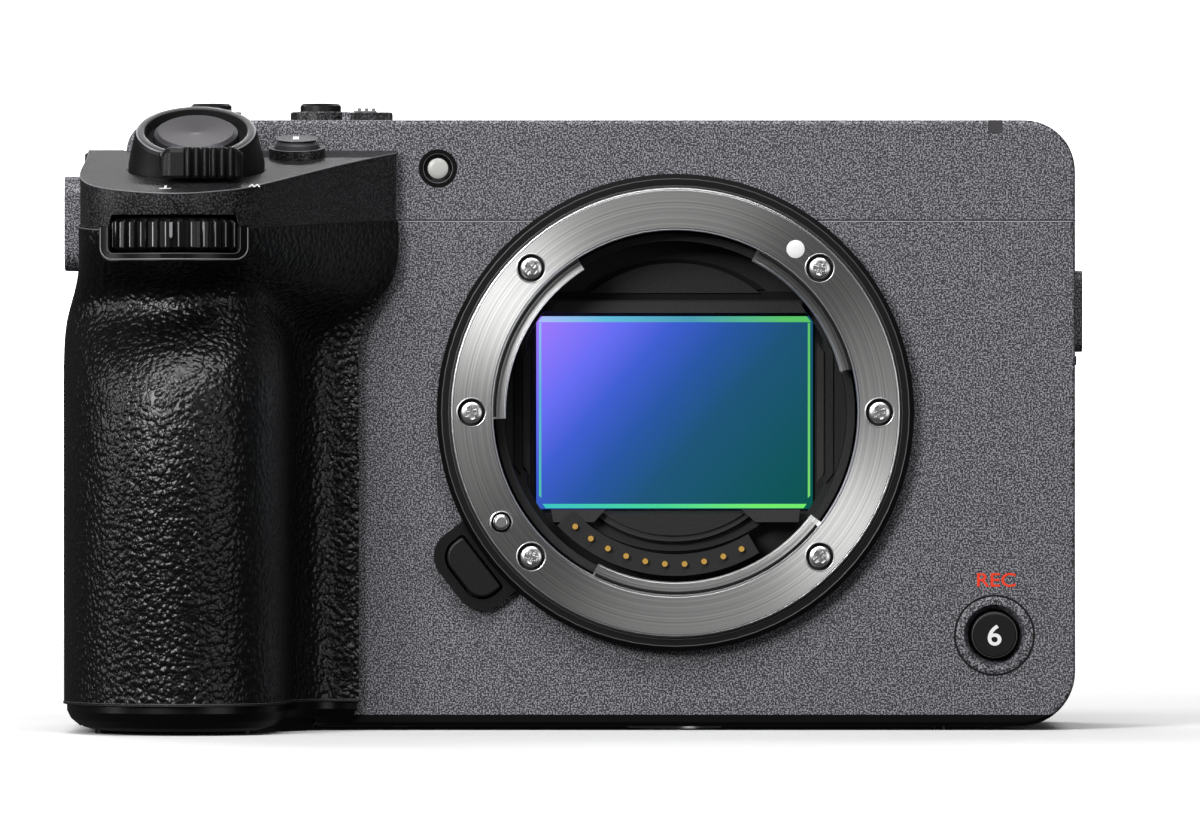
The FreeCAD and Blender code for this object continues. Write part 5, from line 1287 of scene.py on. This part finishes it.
    def deck_key_rims(self) -> None:
        """Painted highlights on fine edges, and the flat cap of the small key on the deck, grey with painted
        light.
        """
        foot = Matrix.Translation(self.deck_key) @ DECK_TURN
        for name, radius, up, body in (("deck_collar_edge", 3.52, 1.2, "camera_body"),
                                       ("deck_cap_edge", 2.62, 2.35, "deck_key")):
            link(name, hoop(radius, 0.07, raised(foot, up)), Finishes.PALE_HIGHLIGHT, body)
        cap = ((2.2, 2.30), (2.5, 2.30), (2.52, 2.40), (2.4, 2.43), (0.3, 2.43))
        link("deck_cap_face", turned(cap, foot), Finishes.CAP, "deck_key")

    def record_rims(self) -> None:
        """The groove round the record key, painted shade, the key's edge, a dim painted highlight, and the
        dish that it stands in, painted shade.
        """
        at = facing(self.record[0], CASE_FRONT / MM, self.record[2])
        dish = ((3.27, -1.40), (3.93, 0.10), (3.95, 0.17), (3.27, -1.33))
        for name, form, finish, body in (
                ("record_groove", hoop(5.04, 0.13, raised(at, 0.05), 0.5), Finishes.VOID, "camera_body"),
                ("record_cap_edge", hoop(2.8, 0.07, raised(at, 0.45), 0.5), Finishes.DIM_HIGHLIGHT,
                 "record_key"),
                ("record_dish", turned(dish, at, looped=True), Finishes.BAR, "camera_body")):
            link(name, form, finish, body)

    def print_marks(self) -> None:
        """The generic marks: REC, 6, 1, T and W."""
        lettering("rec_print", "REC", (4.94, 1.78), facing(40.93, CASE_FRONT / MM - 0.02, 19.17),
                  Finishes.RED_INK, "camera_body")
        x, y, z = self.record
        lettering("six_print", "6", (1.75, 2.66), facing(x, y - 0.02, z), Finishes.WHITE_INK,
                  "record_key")
        # The marks on the deck are read from behind, so they are turned over.
        over = Matrix.Rotation(math.pi, 4, "Z")
        cap = Matrix.Translation(self.deck_key) @ DECK_TURN @ Matrix.Translation((-0.1, -0.25, 2.46))
        lettering("one_print", "1", (0.75, 2.3), cap @ over, Finishes.WHITE_INK, "deck_key")
        for name, letter, across, along in (("tele_print", "T", -63.9, -44.6),
                                            ("wide_print", "W", -52.8, -43.3)):
            ground = DECK_Z + (along - CASE_FRONT / MM) * math.tan(math.radians(DECK_SLOPE))
            place = Matrix.Translation((across, along, ground)) @ DECK_TURN
            lettering(name, letter, (1.5, 2.4), raised(place, 0.02) @ over, Finishes.WHITE_INK,
                      "camera_body")


@dataclass
class Monitor:
    """The hinged monitor."""

    def build(self) -> None:
        """Dresses the monitor."""
        dress(Finishes.SATIN, "monitor_shell", "monitor_arm")
        dress(Finishes.SCREEN, "monitor_glass")
        dress(Finishes.ANODISED, "monitor_hinge")


@dataclass(frozen=True)
class SoftBox:
    """One lamp of the studio, in metres and watts."""

    name: str
    at: Point
    size: tuple[float, float]
    power: float
    aim: Point = (0.0, 0.0, 0.04)
    mirrored: bool = True

    def build(self) -> None:
        """Stands the box in the studio; shiny surfaces only show one that is mirrored."""
        data = bpy.data.lights.new(self.name, "AREA")
        data.shape = "RECTANGLE"
        data.size, data.size_y = self.size
        data.energy = self.power
        box = bpy.data.objects.new(self.name, data)
        bpy.context.scene.collection.objects.link(box)
        box.visible_glossy = self.mirrored
        box.location = self.at
        box.rotation_euler = (Vector(self.aim) - Vector(self.at)).to_track_quat("-Z", "Y").to_euler()


@dataclass
class Studio:
    """A pale floor that sweeps up behind the camera body, soft lights and the view, in metres."""

    distance: float = 1.5
    lens_mm: float = 353.0
    view_x: float = -9.6 * MM
    view_z: float = 40.0 * MM
    paper_half: float = 3.0
    paper_start: float = 2.2
    paper_bend: float = 0.5
    paper_top: float = 2.5
    air: float = 0.045
    # The key draws two bright fans on the turned ring, the top box shows the deck, the side box gives
    # the grip an edge, a weak fill opens the right, the rear box lights the back but isn't mirrored in
    # the glass and the deck, and the last lamp whitens the paper wall.
    boxes: tuple[SoftBox, ...] = (
        SoftBox("key_box", (-0.6, -1.0, 0.47), (0.45, 0.45), 10.0),
        SoftBox("top_box", (0.0, -0.55, 0.85), (0.8, 0.4), 7.0),
        SoftBox("side_box", (-1.2, -0.15, 0.3), (0.4, 0.6), 3.0),
        SoftBox("fill_box", (0.8, -1.1, 0.1), (0.6, 0.6), 2.0),
        SoftBox("rear_box", (-0.4, 0.9, 1.1), (0.7, 0.7), 9.0, mirrored=False),
        SoftBox("paper_lamp", (0.0, 1.8, 1.5), (2.0, 0.4), 75.0, aim=(0.0, 2.5, 0.1)))

    def build(self) -> None:
        """Makes the floor, the lights and the view."""
        self.sweep()
        for box in self.boxes:
            box.build()
        self.air_light()
        self.view()

    def sweep(self) -> None:
        """One sheet of paper: floor, curve and wall. It throws no light on the camera body."""
        start, bend = self.paper_start, self.paper_bend
        profile = [(-self.paper_half, 0.0), (start, 0.0)]
        profile += [(start + bend * math.sin(math.radians(a)), bend - bend * math.cos(math.radians(a)))
                    for a in range(9, 91, 9)]
        profile.append((start + bend, self.paper_top))
        verts = [(x, y, z) for y, z in profile for x in (-self.paper_half, self.paper_half)]
        faces = [(2 * i, 2 * i + 1, 2 * i + 3, 2 * i + 2) for i in range(len(profile) - 1)]
        mesh = bpy.data.meshes.new("studio_sweep")
        mesh.from_pydata(verts, [], faces)
        for face in mesh.polygons:
            face.use_smooth = True
        sheet = bpy.data.objects.new("studio_sweep", mesh)
        sheet.visible_glossy = False
        sheet.visible_diffuse = False
        bpy.context.scene.collection.objects.link(sheet)
        mesh.materials.append(Finishes.PAPER.value.material())

    def air_light(self) -> None:
        """A little light from all round, so that no shadow is quite black."""
        world = bpy.data.worlds.new("studio_air")
        world.use_nodes = True
        air = world.node_tree.nodes["Background"]
        air.inputs["Color"].default_value = (1.0, 1.0, 1.0, 1.0)
        air.inputs["Strength"].default_value = self.air
        scene = bpy.context.scene
        scene.world = world
        scene.view_settings.view_transform = "Standard"

    def view(self) -> None:
        """The photograph's view: straight on, from far away."""
        data = bpy.data.cameras.new("view")
        data.lens = self.lens_mm
        data.sensor_width = 36.0
        data.clip_end = 20.0
        eye = bpy.data.objects.new("view", data)
        bpy.context.scene.collection.objects.link(eye)
        eye.location = (self.view_x, CASE_FRONT - self.distance, self.view_z)
        eye.rotation_euler = (math.radians(90), 0.0, 0.0)
        bpy.context.scene.camera = eye


def main() -> None:
    """Builds the looks in order and reports each piece."""
    logging.basicConfig(level=logging.INFO)
    known = set(bpy.data.objects.keys())
    for part in (Case(), Grip(), Mount(), Throat(), Controls(), Monitor(), Studio()):
        part.build()
        added = [name for name in bpy.data.objects.keys() if name not in known]
        known.update(added)
        log.info("%s built, its own pieces: %s", type(part).__name__, ", ".join(added) or "none")
    bpy.context.view_layer.update()


if __name__ == "__main__":
    main()
